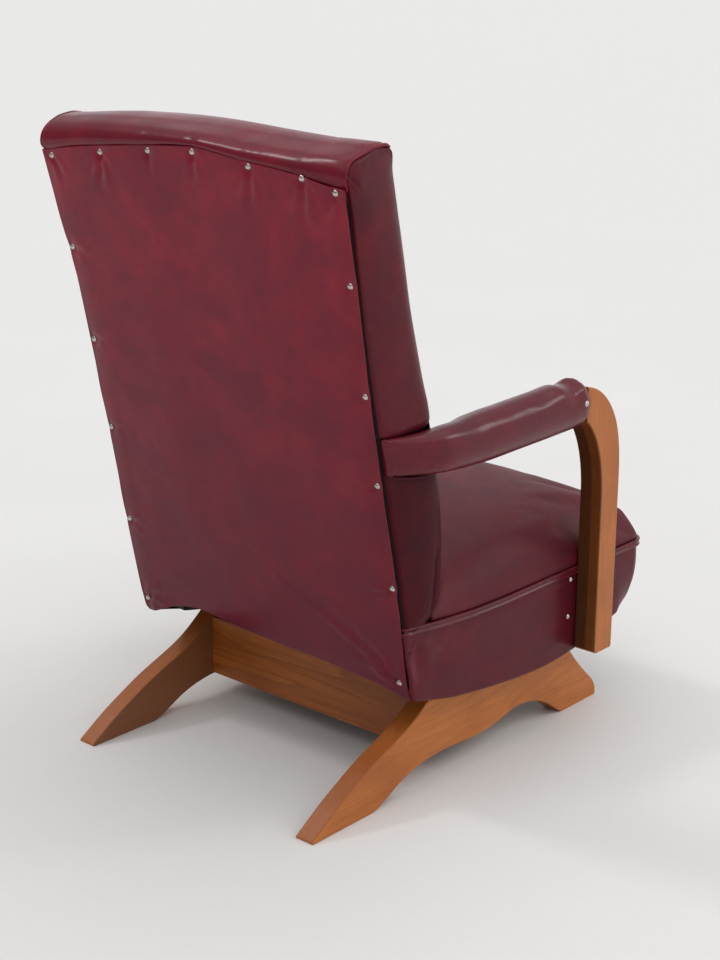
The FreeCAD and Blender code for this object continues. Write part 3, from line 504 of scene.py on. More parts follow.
def woven(name, warp_c, weft_c, pitch, rough=0.9):
    """Plain weave at a given pitch in metres."""
    m, t, b, co = tree_of(name)
    sep = node(t, "ShaderNodeSeparateXYZ", {0: co})
    k = math.pi / pitch
    a = maths(t, "ABSOLUTE", maths(t, "SINE", maths(t, "MULTIPLY", sep.outputs[0], k)))
    yz = maths(t, "ADD", sep.outputs[1], maths(t, "MULTIPLY", sep.outputs[2], 0.98))
    c = maths(t, "ABSOLUTE", maths(t, "SINE", maths(t, "MULTIPLY", yz, k)))
    which = maths(t, "GREATER_THAN", a, c)
    fuzz = noise(t, co, 260.0, 4.0)
    col = mix(t, which, warp_c, weft_c)
    col = mix(t, span(t, fuzz, 0.35, 0.7, 0.0, 0.5), col, tuple(0.45 * x for x in warp_c))
    t.links.new(col, b.inputs["Base Color"])
    b.inputs["Roughness"].default_value = rough
    bump(t, b, [(maths(t, "MAXIMUM", a, c), 0.5, pitch * 0.4), (fuzz, 0.2, 0.0004)])
    return m


# The tones of these copies of one vinyl paint light and shade: the outside back is a brighter lit copy, and the roll,
# arm pads, welt, seat and borders are darker shaded copies.
VINYL = vinyl(tone=1.20, rough=(0.28, 0.40), shine=0.11, coat=(0.15, 0.2), foot=0.62)
VINYL_ROLL = vinyl("vinyl_oxblood_roll", shift=(0.4, 0.1, 0.6), tone=0.84, rough=(0.24, 0.36), shine=0.07, coat=(0.26, 0.19))
VINYL_ARM = vinyl("vinyl_oxblood_arm", shift=(0.33, 0.27, 0.71), tone=0.58, rough=(0.24, 0.36), shine=0.10, coat=(0.36, 0.19))
# rougher for wear; its low tone is painted shade on the side and front faces
VINYL_WORN_SHADED = vinyl("vinyl_oxblood_worn_shaded", shift=(0.7, 0.3, 0.2), tone=0.49, rough=(0.32, 0.46), shine=0.11, coat=(0.13, 0.22))
# painted shade: a darker copy for the lower borders, which lie in the shade under the arm pads
VINYL_PAINTED_SHADE = vinyl("vinyl_oxblood_painted_shade", shift=(0.9, 0.6, 0.3), tone=0.30, rough=(0.34, 0.48), shine=0.06, coat=(0.04, 0.22))
VINYL_SEAT = vinyl("vinyl_oxblood_seat", shift=(0.1, 0.5, 0.8), tone=0.50, rough=(0.48, 0.60), shine=0.24, coat=(0.03, 0.4))
WOOD_X = wood("wood_cross_rail", "x", seed=3.1, cathedral=0.6, tone=(0.86, 0.80, 0.74))
# WOOD_Y and WOOD_Z carry painted shade on their faces according to the way they face
WOOD_Y = wood("wood_base_rail", "y", seed=1.7, cathedral=0.22, facing_shade=True)
WOOD_Z = wood("wood_arm", "z", seed=5.3, cathedral=0.22, rear=True)
RAW = {a: raw_wood("frame_wood_" + a, a) for a in "xyz"}
# painted shade: a near-black copy of the frame wood for the seat side rails, where they show in shade under the hem
RAW_SHADED = raw_wood("frame_wood_painted_shade", "y", tone=0.09)
NICKEL = metal("nail_nickel", (0.66, 0.63, 0.59), (0.42, 0.39, 0.35), 0.2)
SPRING = metal("spring_steel", (0.42, 0.41, 0.40), (0.20, 0.19, 0.18), 0.42)
BRACKET = metal("bracket_steel", (0.34, 0.33, 0.32), (0.17, 0.16, 0.15), 0.5)
SCREW = metal("screw_steel", (0.55, 0.52, 0.46), (0.30, 0.27, 0.22), 0.4)
BURLAP = woven("burlap", (0.42, 0.29, 0.14), (0.50, 0.36, 0.19), 0.0026)
# near-black fibre that stands in for deep shadow: a painted shadow
def painted_shadow_fibre(name):
    m, t, b, co = tree_of(name)
    n = noise(t, co, 300.0, 4.0)
    t.links.new(ramp(t, n, [(0.3, (0.006, 0.005, 0.005)), (0.7, (0.014, 0.012, 0.012))]), b.inputs["Base Color"])
    b.inputs["Roughness"].default_value = 0.95
    b.inputs["Specular IOR Level"].default_value = 0.1
    bump(t, b, [(n, 0.3, 0.0004)])
    return m


SHADOW_FIBRE = painted_shadow_fibre("painted_shadow_black")
DUST = woven("dust_cloth", (0.018, 0.018, 0.019), (0.030, 0.030, 0.032), 0.0012)

# ----------------------------------------------------------------------------
# camera
# ----------------------------------------------------------------------------
yaw, pitch, roll = math.radians(41.476), math.radians(16.585), math.radians(0.155)
fw = Vector((math.sin(yaw) * math.cos(pitch), -math.cos(yaw) * math.cos(pitch), -math.sin(pitch)))
rt = fw.cross(Vector((0, 0, 1))).normalized()
up = rt.cross(fw)
rt, up = math.cos(roll) * rt + math.sin(roll) * up, -math.sin(roll) * rt + math.cos(roll) * up
cam = bpy.data.objects.new("camera", bpy.data.cameras.new("camera"))
bpy.context.scene.collection.objects.link(cam)
cam.data.lens, cam.data.sensor_width, cam.data.sensor_fit = 62.705, 36.0, "AUTO"
cam.data.clip_start, cam.data.clip_end = 0.05, 1500.0
cam.matrix_world = Matrix((
    (rt.x, up.x, -fw.x, -1.6028), (rt.y, up.y, -fw.y, 1.8192), (rt.z, up.z, -fw.z, 1.0982), (0, 0, 0, 1)))
bpy.context.scene.camera = cam

# ----------------------------------------------------------------------------
# outside back: one sheet, folded under at its edges and nailed all round
# ----------------------------------------------------------------------------
NAILS_POS = [(265, 274), (261.8, 142), (257.7, 3), (261.2, -137), (264, -291), (260.2, -429)]
NAILS_NEG = [(-262, 264), (-265, 148), (-264, 2), (-263, -122.5), (-264, -273.5), (-252, -424)]
NAILS_TOP = [(159.5, 285.5), (62, 294), (-23, 298), (-121, 286), (-210, 278)]

EDGE_TOP = [(-276.5, 267.5), (-258, 269.5), (-239, 273), (-208, 279.5), (-162, 286), (-117, 292), (-66, 299.5), (-22, 303.8), (61, 300.2), (156, 293.8),
            (221, 288), (262, 282.5), (282, 280.5)]
EDGE_POS = [(262, -449), (268.5, -436), (270, -374), (269.5, -292), (267, -218), (265.5, -143), (265.2, -71), (262.5, 4), (263.0, 77), (267.5, 141),
            (273.5, 187), (279.5, 251), (282, 280.5)]
EDGE_NEG = [(-265, -448), (-264.5, -415), (-267, -351), (-269.8, -273), (-270, -199), (-269.2, -122), (-270, -55), (-270, 2), (-272.5, 80), (-274, 145),
            (-274.5, 208), (-276.5, 267.5)]
EDGE_LOW = [(-265, -448), (-242, -442), (-216, -437), (-161, -433), (-66, -429), (35, -424.5), (108, -419.5), (139, -416.5), (173, -419), (200, -427), (223, -436),
            (245, -446), (262, -449)]
seam_w = smooth_of([p[0] for p in EDGE_TOP], [p[1] for p in EDGE_TOP])


def coons(low, high, neg, pos):
    """Grid of points between four edges. First index runs along low and high."""
    t = np.linspace(0, 1, len(low))[:, None, None]
    s = np.linspace(0, 1, len(neg))[None, :, None]
    a = (1 - s) * low[:, None] + s * high[:, None]
    b = (1 - t) * neg[None] + t * pos[None]
    c = (1 - t) * (1 - s) * low[0] + t * (1 - s) * low[-1] + (1 - t) * s * high[0] + t * s * high[-1]
    return a + b - c


def pucker(x, w, nx, nw, ang, length, amp, wide=2.6):
    """Small pinched fold that runs from a nail in direction ang."""
    ca, sa = math.cos(ang), math.sin(ang)
    a = (x - nx) * ca + (w - nw) * sa
    b = -(x - nx) * sa + (w - nw) * ca
    b = b + 0.10 * a * np.sin(a / 9.0)
    g = sstep(1.5, 7, a) * np.exp(-(np.maximum(a, 0) / length) ** 2)
    wd = wide * (1 + 0.035 * np.maximum(a, 0))
    return 1.35 * amp * g * (-bell(b, wd) + 0.62 * bell(np.abs(b) - 2.3 * wd, 1.1 * wd))


def build_outside_back():
    nx, nw = 190, 250
    gr = coons(curve(EDGE_LOW, nx), curve(EDGE_TOP, nx), curve(EDGE_NEG, nw), curve(EDGE_POS, nw))
    x, w = gr[..., 0], gr[..., 1]
    xn = np.interp(w, [p[1] for p in EDGE_NEG], [p[0] for p in EDGE_NEG])
    xp = np.interp(w, [p[1] for p in EDGE_POS], [p[0] for p in EDGE_POS])
    lw = np.interp(x, [p[0] for p in EDGE_LOW], [p[1] for p in EDGE_LOW])
    dn, dp, dt, db = np.maximum(x - xn, 0), np.maximum(xp - x, 0), np.maximum(seam_w(x) - w, 0), np.maximum(w - lw, 0)
    side = 1 - np.exp(-(np.minimum(dn, dp) / 15.0) ** 1.25)
    v = 3.6 * side * (1 - np.exp(-(dt / 13.0) ** 1.2)) * (0.35 + 0.65 * (1 - np.exp(-db / 30.0)))
    tt, ss = (x - xn) / (xp - xn), np.clip((w + 440) / 730.0, 0, 1)
    v += 3.4 * np.sin(np.pi * np.clip(tt, 0, 1)) ** 0.8 * np.sin(np.pi * np.clip(ss, 0, 1)) ** 0.7
    p3 = np.stack([x, w, 0 * x], -1)
    calm = np.clip(np.minimum(np.minimum(dn, dp), dt) / 40.0, 0, 1)
    v += calm * (1.5 * noise3(p3 * (1, 0.7, 1), 120.0) + 0.55 * noise3(p3 + 31, 46.0) + 0.16 * noise3(p3 + 7, 17.0))
    # the edge lifts a little between nails
    edge = np.exp(-np.minimum(np.minimum(dn, dp), dt) / 7.0)
    v += edge * (0.9 + 0.7 * noise3(p3 + 11, 34.0))
    nails = NAILS_POS + NAILS_NEG + NAILS_TOP
    for a, c in nails:
        k = np.exp(-(((x - a) ** 2 + (w - c) ** 2) / 11.0 ** 2))
        v = v * (1 - k) - 0.25 * k
    # pulled folds at the nails
    for (a, c), amp, ln in zip(NAILS_TOP, (2.6, 1.3, 2.0, 2.4, 2.4), (34, 20, 26, 36, 36)):
        v += pucker(x, w, a, c, -math.pi / 2 + 0.05 * math.sin(a), ln, amp)
        v += pucker(x, w, a, c, -math.pi / 2 + 0.62, ln * 0.7, 0.5 * amp)
        v += pucker(x, w, a, c, -math.pi / 2 - 0.66, ln * 0.7, 0.45 * amp)
    for (a, c), amp, ang, ln in zip(NAILS_NEG, (2.6, 1.6, 1.3, 1.9, 2.9, 3.6), (-0.95, -0.35, -0.25, -0.2, -0.5, 0.62), (34, 22, 22, 26, 32, 56)):
        v += pucker(x, w, a, c, ang, ln, amp)
        v += pucker(x, w, a, c, ang + 0.75, ln * 0.6, 0.45 * amp)
        v += pucker(x, w, a, c, ang - 0.7, ln * 0.6, 0.4 * amp)
    for (a, c), amp, ang, ln in zip(NAILS_POS, (1.8, 1.3, 1.4, 1.2, 1.4, 2.2), (-2.2, -2.9, 3.05, 3.0, -3.0, 2.6), (28, 24, 24, 22, 24, 36)):
        v += pucker(x, w, a, c, ang, ln, amp)
        v += pucker(x, w, a, c, ang + 0.7, ln * 0.6, 0.4 * amp)
    # long slack crease from the lower corner
    ca, sa = math.cos(0.52), math.sin(0.52)
    a, bb = (x + 248) * ca + (w + 421) * sa, -(x + 248) * sa + (w + 421) * ca
    bb = bb - 6 * np.sin(a / 60.0)
    v += 2.6 * sstep(6, 40, a) * np.exp(-(np.maximum(a, 0) / 165.0) ** 2) * (bell(bb, 7.0) - 0.8 * bell(bb - 13, 9.0))
    # the hem leans in under the back, its corner hangs loose
    hem = np.exp(-db / 14.0)
    v -= hem * 2.0 * sstep(190, 120, np.abs(x))
    v += hem * 2.2 * sstep(195, 225, x) * sstep(262, 246, x)
    for a, c in nails:
        k = np.exp(-(((x - a) ** 2 + (w - c) ** 2) / 5.2 ** 2))
        v = v * (1 - k) - 0.2 * k
    g = back_at(x, v, w)
    inner = back_at(x, np.minimum(v - 1.5, v - 1.2 - 1.3 * edge), w)
    lp = loop_of(nx, nw)
    flat = np.stack([x, w], -1).reshape(-1, 2)[lp]
    d = np.roll(flat, -1, 0) - np.roll(flat, 1, 0)
    nrm = np.stack([d[:, 1], -d[:, 0]], -1)
    nrm /= np.maximum(np.linalg.norm(nrm, axis=1, keepdims=True), 1e-9)
    if ((flat - flat.mean(0)) * nrm).sum() < 0:
        nrm = -nrm
    v0, v1 = v.reshape(-1)[lp], None
    r = 1.35
    rim = []
    for th in np.radians((25, 55, 90, 125, 155)):
        q = flat + nrm * r * math.sin(th)
        rim.append(back_at(q[:, 0], v0 - r * (1 - math.cos(th)) * 0.96, q[:, 1]))
    vv, ff = slab(g, inner, rim)
    o = put("outside_back_sheet", vv, ff, VINYL)
    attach(o, "seat")
    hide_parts("outside_back")
    return o


# ----------------------------------------------------------------------------
# back cushion: front and roll over the top in one cover, borders at the sides
# ----------------------------------------------------------------------------
SIL = [(210, 890), (200, 841), (187, 778), (172.5, 713), (157.5, 659), (143, 608), (132, 575), (124.5, 547), (112, 500),
       (106, 460), (99, 403), (97, 345), (101, 303), (111, 282), (131, 268)]
FRONT = [tuple(map(float, to_vw(*p))) for p in SIL]
END_X = {1: 281.5, -1: 275.5}
rim_w = smooth_of([-278, -268.5, -259, -246, -230, -214, -197, -164, -130, -96, -61, -25, 11, 50, 88, 128, 169, 211, 244, 282],
                  [300.0, 302.2, 303.4, 303.8, 303.8, 303.4, 303.6, 305.6, 307.6, 310.0, 313.7, 316.8, 318.6, 319.0, 319.2, 318.2, 316.6, 313.7, 310.8, 308.2])
rear_v = smooth_of([-280, -273, -267, -250, -200, -120, 0, 150, 282], [-5.6, -4.4, -2.6, -1.4, 0.2, 1.7, 2.6, 2.6, 2.6])
crest_v = smooth_of([-280, -140, 0, 140, 282], [-56, -50, -43, -37, -33])
crest_up = smooth_of([-280, -140, 0, 140, 282], [3.4, 4.2, 4.8, 7.5, 11.5])


def flare(sx, w):
    """How much the back is wider towards its head."""
    return 8.5 * sstep(70, 275, w) if sx > 0 else 4.0 * sstep(20, 265, w)


def back_profile(x, n):
    """Outline of the back at x, from under the outside back over the roll to the seat."""
    s, e, vr, vc = (float(f(x)) for f in (seam_w, rim_w, rear_v, crest_v))
    c = e + float(crest_up(x))
    h = c - s
    rear = [(min(vr - 0.6, -4.0), s - 16), (min(vr - 0.6, -3.6), s - 5), (min(vr - 0.9, -1.5), s + 1.0), (vr - 0.1, s + 0.20 * h), (vr - 0.9, s + 0.38 * h), (vr - 4.2, s + 0.57 * h),
            (vr - 10.5, s + 0.74 * h), (vr - 19.5, s + 0.87 * h), (min(vr - 31, vc + 4), s + 0.96 * h), (vc - 8, c), ((vc - 98) / 2, (c + e) / 2 + 0.33 * (c - e)), (-90, e), (-98.3, e - 5.5),
            (-103.0, e - 15), (-105.2, e - 34)]
    face = [(v, w) for v, w in FRONT if w < 235]
    return curve(rear + face, n)


def build_back_cover():
    ns = 230
    k = (1 - np.cos(np.linspace(0, np.pi / 2, 8)))
    rim = 7.0
    xs = np.r_[-END_X[-1] + rim * k[:-1], np.linspace(-END_X[-1] + rim, END_X[1] - rim, 96), (END_X[1] - rim * k[::-1])[1:]]
    prof = np.stack([back_profile(x, ns) for x in xs])
    v, w = prof[..., 0], prof[..., 1]
    # only the head of the back flares
    half = np.where(xs > 0, END_X[1], END_X[-1])[:, None]
    side = np.where(xs > 0, 1, -1)[:, None]
    fl = np.where(side > 0, flare(1, w), flare(-1, w))
    tuck_in = (15.0 + 4.0 * sstep(-40, -80, w)) * sstep(310, 288, w) * sstep(-62, -94, v)
    x = xs[:, None] * (270.5 + fl - tuck_in) / half
    on_front = sstep(-60, -100, v) * sstep(330, 240, w)
    v = v - on_front * 15.0 * (1 - (np.abs(xs[:, None]) / half) ** 2.2) * (0.55 + 0.45 * np.sin(np.pi * np.clip((w + 350) / 640, 0, 1)))
    g = np.stack([x, v, w], -1)
    nrm = normals_of(g)
    if nrm[50, 100, 1] > 0:
        nrm = -nrm
    # turned down into the seam at both ends
    e = np.clip((np.abs(xs[:, None]) - (half - rim)) / rim, 0, 1) * np.ones_like(x)
    g = g - nrm * (5.5 * (1 - 0.75 * sstep(-34, -12, v)) * (1 - np.sqrt(np.maximum(1 - e ** 2, 0))))[..., None]
    calm = 1 - e
    lump = 1.0 * noise3(g, 85.0) + 0.35 * noise3(g + 9, 30.0)
    # the roll is pulled down towards each nail of the top row
    sw = seam_w(np.clip(x, -276, 282))
    up_roll = sstep(-24, -4, v) * sstep(-2, 8, w - sw)
    pull = np.zeros_like(x)
    for (a, c), amp in zip([(265, 274)] + NAILS_TOP + [(-262, 264)], (0.6, 0.8, 1.2, 1.7, 1.3, 1.0, 0.6)):
        pull += amp * (bell(x - a, 6.0) - 0.5 * bell(np.abs(x - a) - 12, 6.0)) * np.exp(-np.maximum(w - c - 6, 0) / 14.0)
    for q in range(8):
        a = 14 - 11 * q
        pull += 0.5 * bell(x - a - 0.45 * (w - 310), 2.3) * bell(w - 311, 8) * (0.6 + 0.4 * math.sin(3.1 * q))
    for q, (a, amp) in enumerate(((-150, 0.5), (-163, 0.8), (-175, 0.5), (-231, 0.7), (-240, 0.9), (-249, 0.6), (110, 0.4), (122, 0.5))):
        pull += amp * bell(x - a - 0.25 * (w - sw), 2.8) * bell(w - sw - 9, 9)
    g = g + nrm * (calm * lump - up_roll * calm * pull)[..., None]
    n2 = normals_of(g)
    if n2[50, 100, 1] > 0:
        n2 = -n2
    inner = g - n2 * 2.6
    out, inn = back_at(*np.moveaxis(g, -1, 0)), back_at(*np.moveaxis(inner, -1, 0))
    vv, ff = slab(out, inn)
    o = put("back_cover_padded", vv, ff, VINYL_ROLL)
    c = coords(o) * 1000
    c[:, 1] -= Y_SHIFT
    vq, wq = to_vw(c[:, 1], c[:, 2])
    pins = np.maximum(sstep(255, 266, np.abs(c[:, 0])), sstep(-90, -60, vq))
    pins = np.maximum(pins, sstep(-300, -330, wq))
    puff(o, pins, cap=7.0, pressure=2.0)
    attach(o, "seat")
    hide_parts("back_cover", "back_padding")
    return o


def build_roll_edge(sx, name):
    """Folded edge of the cover along the seam with the border."""
    p = back_profile(sx * END_X[sx], 900)
    q = float(seam_w(sx * END_X[sx]))
    i0 = int(np.argmax(p[:, 1] > q - 8))
    i1 = int(np.argmax((p[:, 0] < -96.0) & (np.arange(len(p)) > 100)))
    p = p[i0:i1:4]
    d = np.gradient(p, axis=0)
    n = np.stack([d[:, 1], -d[:, 0]], -1)
    n /= np.linalg.norm(n, axis=1, keepdims=True)
    if ((np.array([-55.0, 200.0]) - p[len(p) // 2]) * n[len(p) // 2]).sum() > 0:
        n = -n
    rings = []
    th = np.linspace(0, 2 * np.pi, 14, endpoint=False)
    for k in range(len(p)):
        r = 1.9 + 0.25 * math.sin(k * 0.31)
        sink = float(max(0.45 * sstep(-86, -97, p[k, 0]), sstep(q + 2, q - 8, p[k, 1]) * sstep(-40, -10, p[k, 0])))
        x = 270.4 + float(flare(sx, p[k, 1])) - 5.0 * sink + 1.25 * r * np.cos(th)
        m = r * np.sin(th) - 1.5 - 3.5 * sink
        rings.append(back_at(sx * x, p[k, 0] + n[k, 0] * m, p[k, 1] + n[k, 1] * m))
    vv, ff = tube(rings)
    o = put(name, vv, ff, VINYL_ROLL)
    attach(o, "seat")
    return o


def build_front_seam(sx, name):
    """Strip behind the seam between the cover and its borders, along the front of the back."""
    p = back_profile(sx * END_X[sx], 900)
    i0 = int(np.argmax((p[:, 0] < -84.0) & (np.arange(len(p)) > 100)))
    p = p[i0::6]
    p = p[p[:, 1] > -345]
    d = np.gradient(p, axis=0)
    n = np.stack([d[:, 1], -d[:, 0]], -1)
    n /= np.linalg.norm(n, axis=1, keepdims=True)
    if ((np.array([-55.0, 200.0]) - p[10]) * n[10]).sum() < 0:
        n = -n
    p = p + n * 5.6
    t = np.linspace(0, 1, 13)
    fl = flare(sx, p[:, 1])[:, None] * 0.9
    far = 263.0 + 3.0 * sstep(250, 290, p[:, 1])[:, None] + fl
    x = 244.0 + (far - 244.0) * t[None, :]
    dip = (-1.4 * np.sin(np.pi * t))[None, :] * np.ones_like(x)
    v = p[:, 0][:, None] + n[:, 0][:, None] * dip
    w = p[:, 1][:, None] + n[:, 1][:, None] * dip
    v2, w2 = v + n[:, 0][:, None] * 2.0, w + n[:, 1][:, None] * 2.0
    vv, ff = slab(back_at(sx * x, v, w), back_at(sx * x, v2, w2))
    o = put(name, vv, ff, VINYL_WORN_SHADED)
    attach(o, "seat")
    return o


def at_z(v, z):
    """w of the point at v that lies at height z."""
    return (np.asarray(z, float) - BACK_Z + np.asarray(v, float) * SA) / CA


def outline_upper(sx):
    """Rear, head, front and lower edges of the upper border in v, w."""
    p = back_profile(sx * END_X[sx], 700)
    d = np.gradient(p, axis=0)
    n = np.stack([d[:, 1], -d[:, 0]], -1)
    n /= np.linalg.norm(n, axis=1, keepdims=True)
    mid = np.array([-55.0, 200.0])
    if ((mid - p[300]) * n[300]).sum() < 0:
        n = -n
    p = p + n * 2.2
    s = float(seam_w(sx * END_X[sx]))
    i0 = int(np.argmax(p[:, 1] > s + 5))
    i1 = int(np.argmax((p[:, 0] < -95.5) & (np.arange(len(p)) > 80)))
    head = p[i0:i1 + 1:6]
    low_z = [(-8.0, 544.0), (-30, 539.5), (-62, 541.0), (-92, 542.5), (-116.5, 548.0)]
    low = [(v, float(at_z(v, z))) for v, z in low_z]
    rear = [(-8.0, low[0][1]), (-8.0, 60), (-8.4, 150), (-9.0, 230), (min(head[0, 0] - 1.0, -8.5), s - 6), tuple(head[0])]
    front = [tuple(head[-1])] + [tuple(q) for q in p[i1 + 12::14] if q[1] > low[-1][1] + 8] + [low[-1]]
    return rear, head, front, low


def rounded(u, r):
    """How far a face has risen at distance u from its edge, for an edge radius r."""
    q = np.clip(1 - u / r, 0, 1)
    return np.sqrt(np.maximum(1 - q * q, 0))


def cosine(n, k=0.8):
    t = np.linspace(0, 1, n)
    return (1 - k) * t + k * 0.5 * (1 - np.cos(np.pi * t))


def edge_field(g):
    """Lengths from the four sides of a grid, measured along its lines."""
    a = np.r_[np.zeros((1, g.shape[1])), np.cumsum(np.linalg.norm(np.diff(g, axis=0), axis=-1), 0)]
    b = np.c_[np.zeros((g.shape[0], 1)), np.cumsum(np.linalg.norm(np.diff(g, axis=1), axis=-1), 1)]
    return a, a[-1:] - a, b, b[:, -1:] - b


def build_side_upper(sx, name):
    rear, head, front, low = outline_upper(sx)
    nt, ns = 70, 150
    tt, ss = cosine(nt), cosine(ns, 0.55)
    gr = coons(curve(low, tt), curve(head, tt), curve(rear, ss), curve(front[::-1], ss))
    dr, df, db, dt = edge_field(gr)
    v, w = gr[..., 0], gr[..., 1]
    q1 = np.maximum(np.clip(1 - dr / 6.0, 0, 1), np.clip(1 - df / 30.0, 0, 1))
    q2 = np.maximum(np.clip(1 - dt / 7.0, 0, 1), np.clip(1 - db / 6.0, 0, 1))
    q = np.minimum(np.sqrt(q1 ** 2 + q2 ** 2), 1)
    rise = np.sqrt(np.maximum(1 - q ** 2, 0))
    face = 273.6 + flare(sx, w) - (0.3 + 6.0 * sstep(130, 270, w)) * sstep(25, 95, dr)
    seam = 268.8 + flare(sx, w) * 0.9 - 1.5 * sstep(9, 1, dt) - 9.0 * sstep(30, 4, df) * sstep(-2, 40, dt)
    mid = np.clip(np.minimum(dr / 50.0, df / 45.0), 0, 1)
    x = seam + (face - seam) * rise + 3.0 * np.sin(np.pi / 2 * mid) * rise
    p3 = np.stack([v, w, 0 * v + 40 * sx], -1)
    x += rise * (0.8 * noise3(p3, 70.0) + 0.32 * noise3(p3 + 5, 24.0))
    # short pleat at the head corner, small gathers below the seam
    a = (v - (rear[-1][0] - 9)) - 0.75 * (w - (rear[-1][1] + 2))
    along = (v - rear[-1][0]) * -0.8 - (w - rear[-1][1]) * -0.6
    pl = bell(a, 2.2) * sstep(-3, 3, -(v - rear[-1][0])) * sstep(26, 12, np.hypot(v - rear[-1][0], w - rear[-1][1]))
    x += (-2.0 * pl + 1.2 * bell(a - 5, 3.0) * sstep(26, 12, np.hypot(v - rear[-1][0], w - rear[-1][1]))) * rise
    x += 1.6 * bell(np.hypot(v - rear[-1][0] + 17, w - rear[-1][1] + 2), 11.0) * rise
    for a0, amp in ((-34, 0.6), (-52, 0.45), (-71, 0.5)):
        x += -amp * bell(v - a0, 3.2) * np.exp(-dt / 12.0) * rise
    # rounded lip that lies over the arm pad, with the pull above it
    x += 3.0 * bell(db - 11, 8.0) * sstep(2, 26, dr) * sstep(-4, 30, df)
    x += -1.2 * bell(db - 27 - 0.12 * dr, 6.0) * sstep(12, 40, dr) * sstep(0, 30, df)
    out = back_at(sx * x, v, w)
    inner = back_at(sx * np.maximum(np.minimum(x - 1.8, 269.5 + 0.8 * flare(sx, w)), 257.0), v, w)
    vv, ff = slab(out, inner)
    o = put(name, vv, ff, VINYL_WORN_SHADED)
    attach(o, "seat")
    return o


def build_side_lower(sx, name):
    nt, ns = 64, 120
    tt, ss = cosine(nt), cosine(ns, 0.5)
    hi_z = [(-7.0, 497.0), (-22, 491.5), (-45, 486.0), (-75, 481.0), (-100, 479.5), (-121.8, 479.0)]
    hi = [(v, float(at_z(v, z))) for v, z in hi_z]
    e = curve(FRONT, 600)
    e[:, 1] -= 9.0 * sstep(-290, -340, e[:, 1])
    f = [(-52.0, -360.5)] + [tuple(q) for q in e[::-1][::12] if -358 < q[1] < hi[-1][1] - 6] + [hi[-1]]
    rear = [(-7.0, -352.0), (-7.0, -250), hi[0]]
    low = [(-7.0, -352.0), (-30, -357.0), (-52.0, -360.5)]
    gr = coons(curve(low, tt), curve(hi, tt), curve(rear, ss), curve(f, ss))
    dr, df, db, dt = edge_field(gr)
    v, w = gr[..., 0], gr[..., 1]
    q1 = np.maximum(np.clip(1 - dr / 6.0, 0, 1), np.clip(1 - df / 46.0, 0, 1))
    q2 = np.maximum(np.clip(1 - dt / 2.0, 0, 1), np.clip(1 - db / 10.0, 0, 1))
    q = np.minimum(np.sqrt(q1 ** 2 + q2 ** 2), 1)
    rise = np.sqrt(np.maximum(1 - q ** 2, 0))
    seam = 268.8 - 12.0 * sstep(46, 6, df)
    mid = np.clip(np.minimum(dr / 50.0, df / 60.0), 0, 1)
    x = seam + (273.6 - seam) * rise + 3.0 * np.sin(np.pi / 2 * mid) * rise
    p3 = np.stack([v, w, 0 * v - 60 * sx], -1)
    x += rise * (0.7 * noise3(p3, 60.0) + 0.25 * noise3(p3 + 5, 22.0))
    # hem at the head and a long fold at the foot
    x += 1.0 * bell(dt - 1.6, 1.5) * sstep(2, 8, dr) - 0.6 * bell(dt - 5.0, 1.8) * sstep(2, 8, dr)
    a = (v + 66) + 0.34 * (w + 330)
    x += 1.5 * bell(a, 3.0) * sstep(-235, -270, w) * sstep(-348, -330, w)
    x += -1.1 * bell(a - 7, 4.0) * sstep(-235, -270, w) * sstep(-348, -330, w)
    # tucked in behind the welt
    x -= 2.0 * sstep(-330, -352, w)
    out = back_at(sx * x, v, w)
    inner = back_at(sx * np.maximum(np.minimum(x - 1.8, 269.5), 252.0), v, w)
    vv, ff = slab(out, inner)
    # painted shade: the lower border takes the darker shaded vinyl
    o = put(name, vv, ff, VINYL_PAINTED_SHADE)
    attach(o, "seat")
    return o


def build_edge_shadow_strip(sx, name):
    """Black strip under the side edge of the outside back, a painted shadow in the gap between the sheet and the
    border.
    """
    ws = np.linspace(-445, 262, 90)
    rings = []
    for w in ws:
        f = float(flare(sx, w)) * 0.9
        sec = [(252, -2.9), (268.6 + f, -2.9), (269.7 + f, -3.4), (270.2 + f, -4.4), (270.2 + f, -13.0), (269.5 + f, -13.0), (269.5 + f, -4.9), (268.5 + f, -4.3), (252, -4.3)]
        rings.append(back_at(np.array([sx * q[0] for q in sec]), np.array([q[1] for q in sec]), w))
    vv, ff = tube(rings)
    o = put(name, vv, ff, SHADOW_FIBRE, smooth=False)
    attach(o, "seat")
    return o


def build_foot_shadow_cloth(sx, name):
    """Black cloth tacked across the foot of a back post, behind the hem: a painted shadow where the hem shades the
    wood.
    """
    nx, nw = 30, 12
    X, W = np.meshgrid(np.linspace(118, 266, nx), np.linspace(0, 1, nw), indexing="ij")
    foot = np.interp(X, [118, 139, 173, 200, 223, 245, 266], [-424, -425, -428.5, -433, -437, -440, -440])
    W = foot + W * (-402 - foot)
    V = -5.6 - 1.2 * bell(W + 425, 22) + 0.5 * noise3(np.stack([X, W, 0 * X], -1), 26.0)
    V = V - 9.0 * sstep(238, 200, X)
    vv, ff = slab(back_at(sx * X, V, W), back_at(sx * X, V - 1.0, W))
    o = put(name, vv, ff, SHADOW_FIBRE)
    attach(o, "seat")
    return o


# ----------------------------------------------------------------------------
# seat: domed cover, welt, skirts and front border
# ----------------------------------------------------------------------------
welt_rise = smooth_of([-420, -150, -60, -24, 30, 60, 90, 127, 155, 185, 210], [0, 0, 0, 0.3, 1.6, 3.4, 6.0, 9.6, 13.0, 15.8, 16.5])


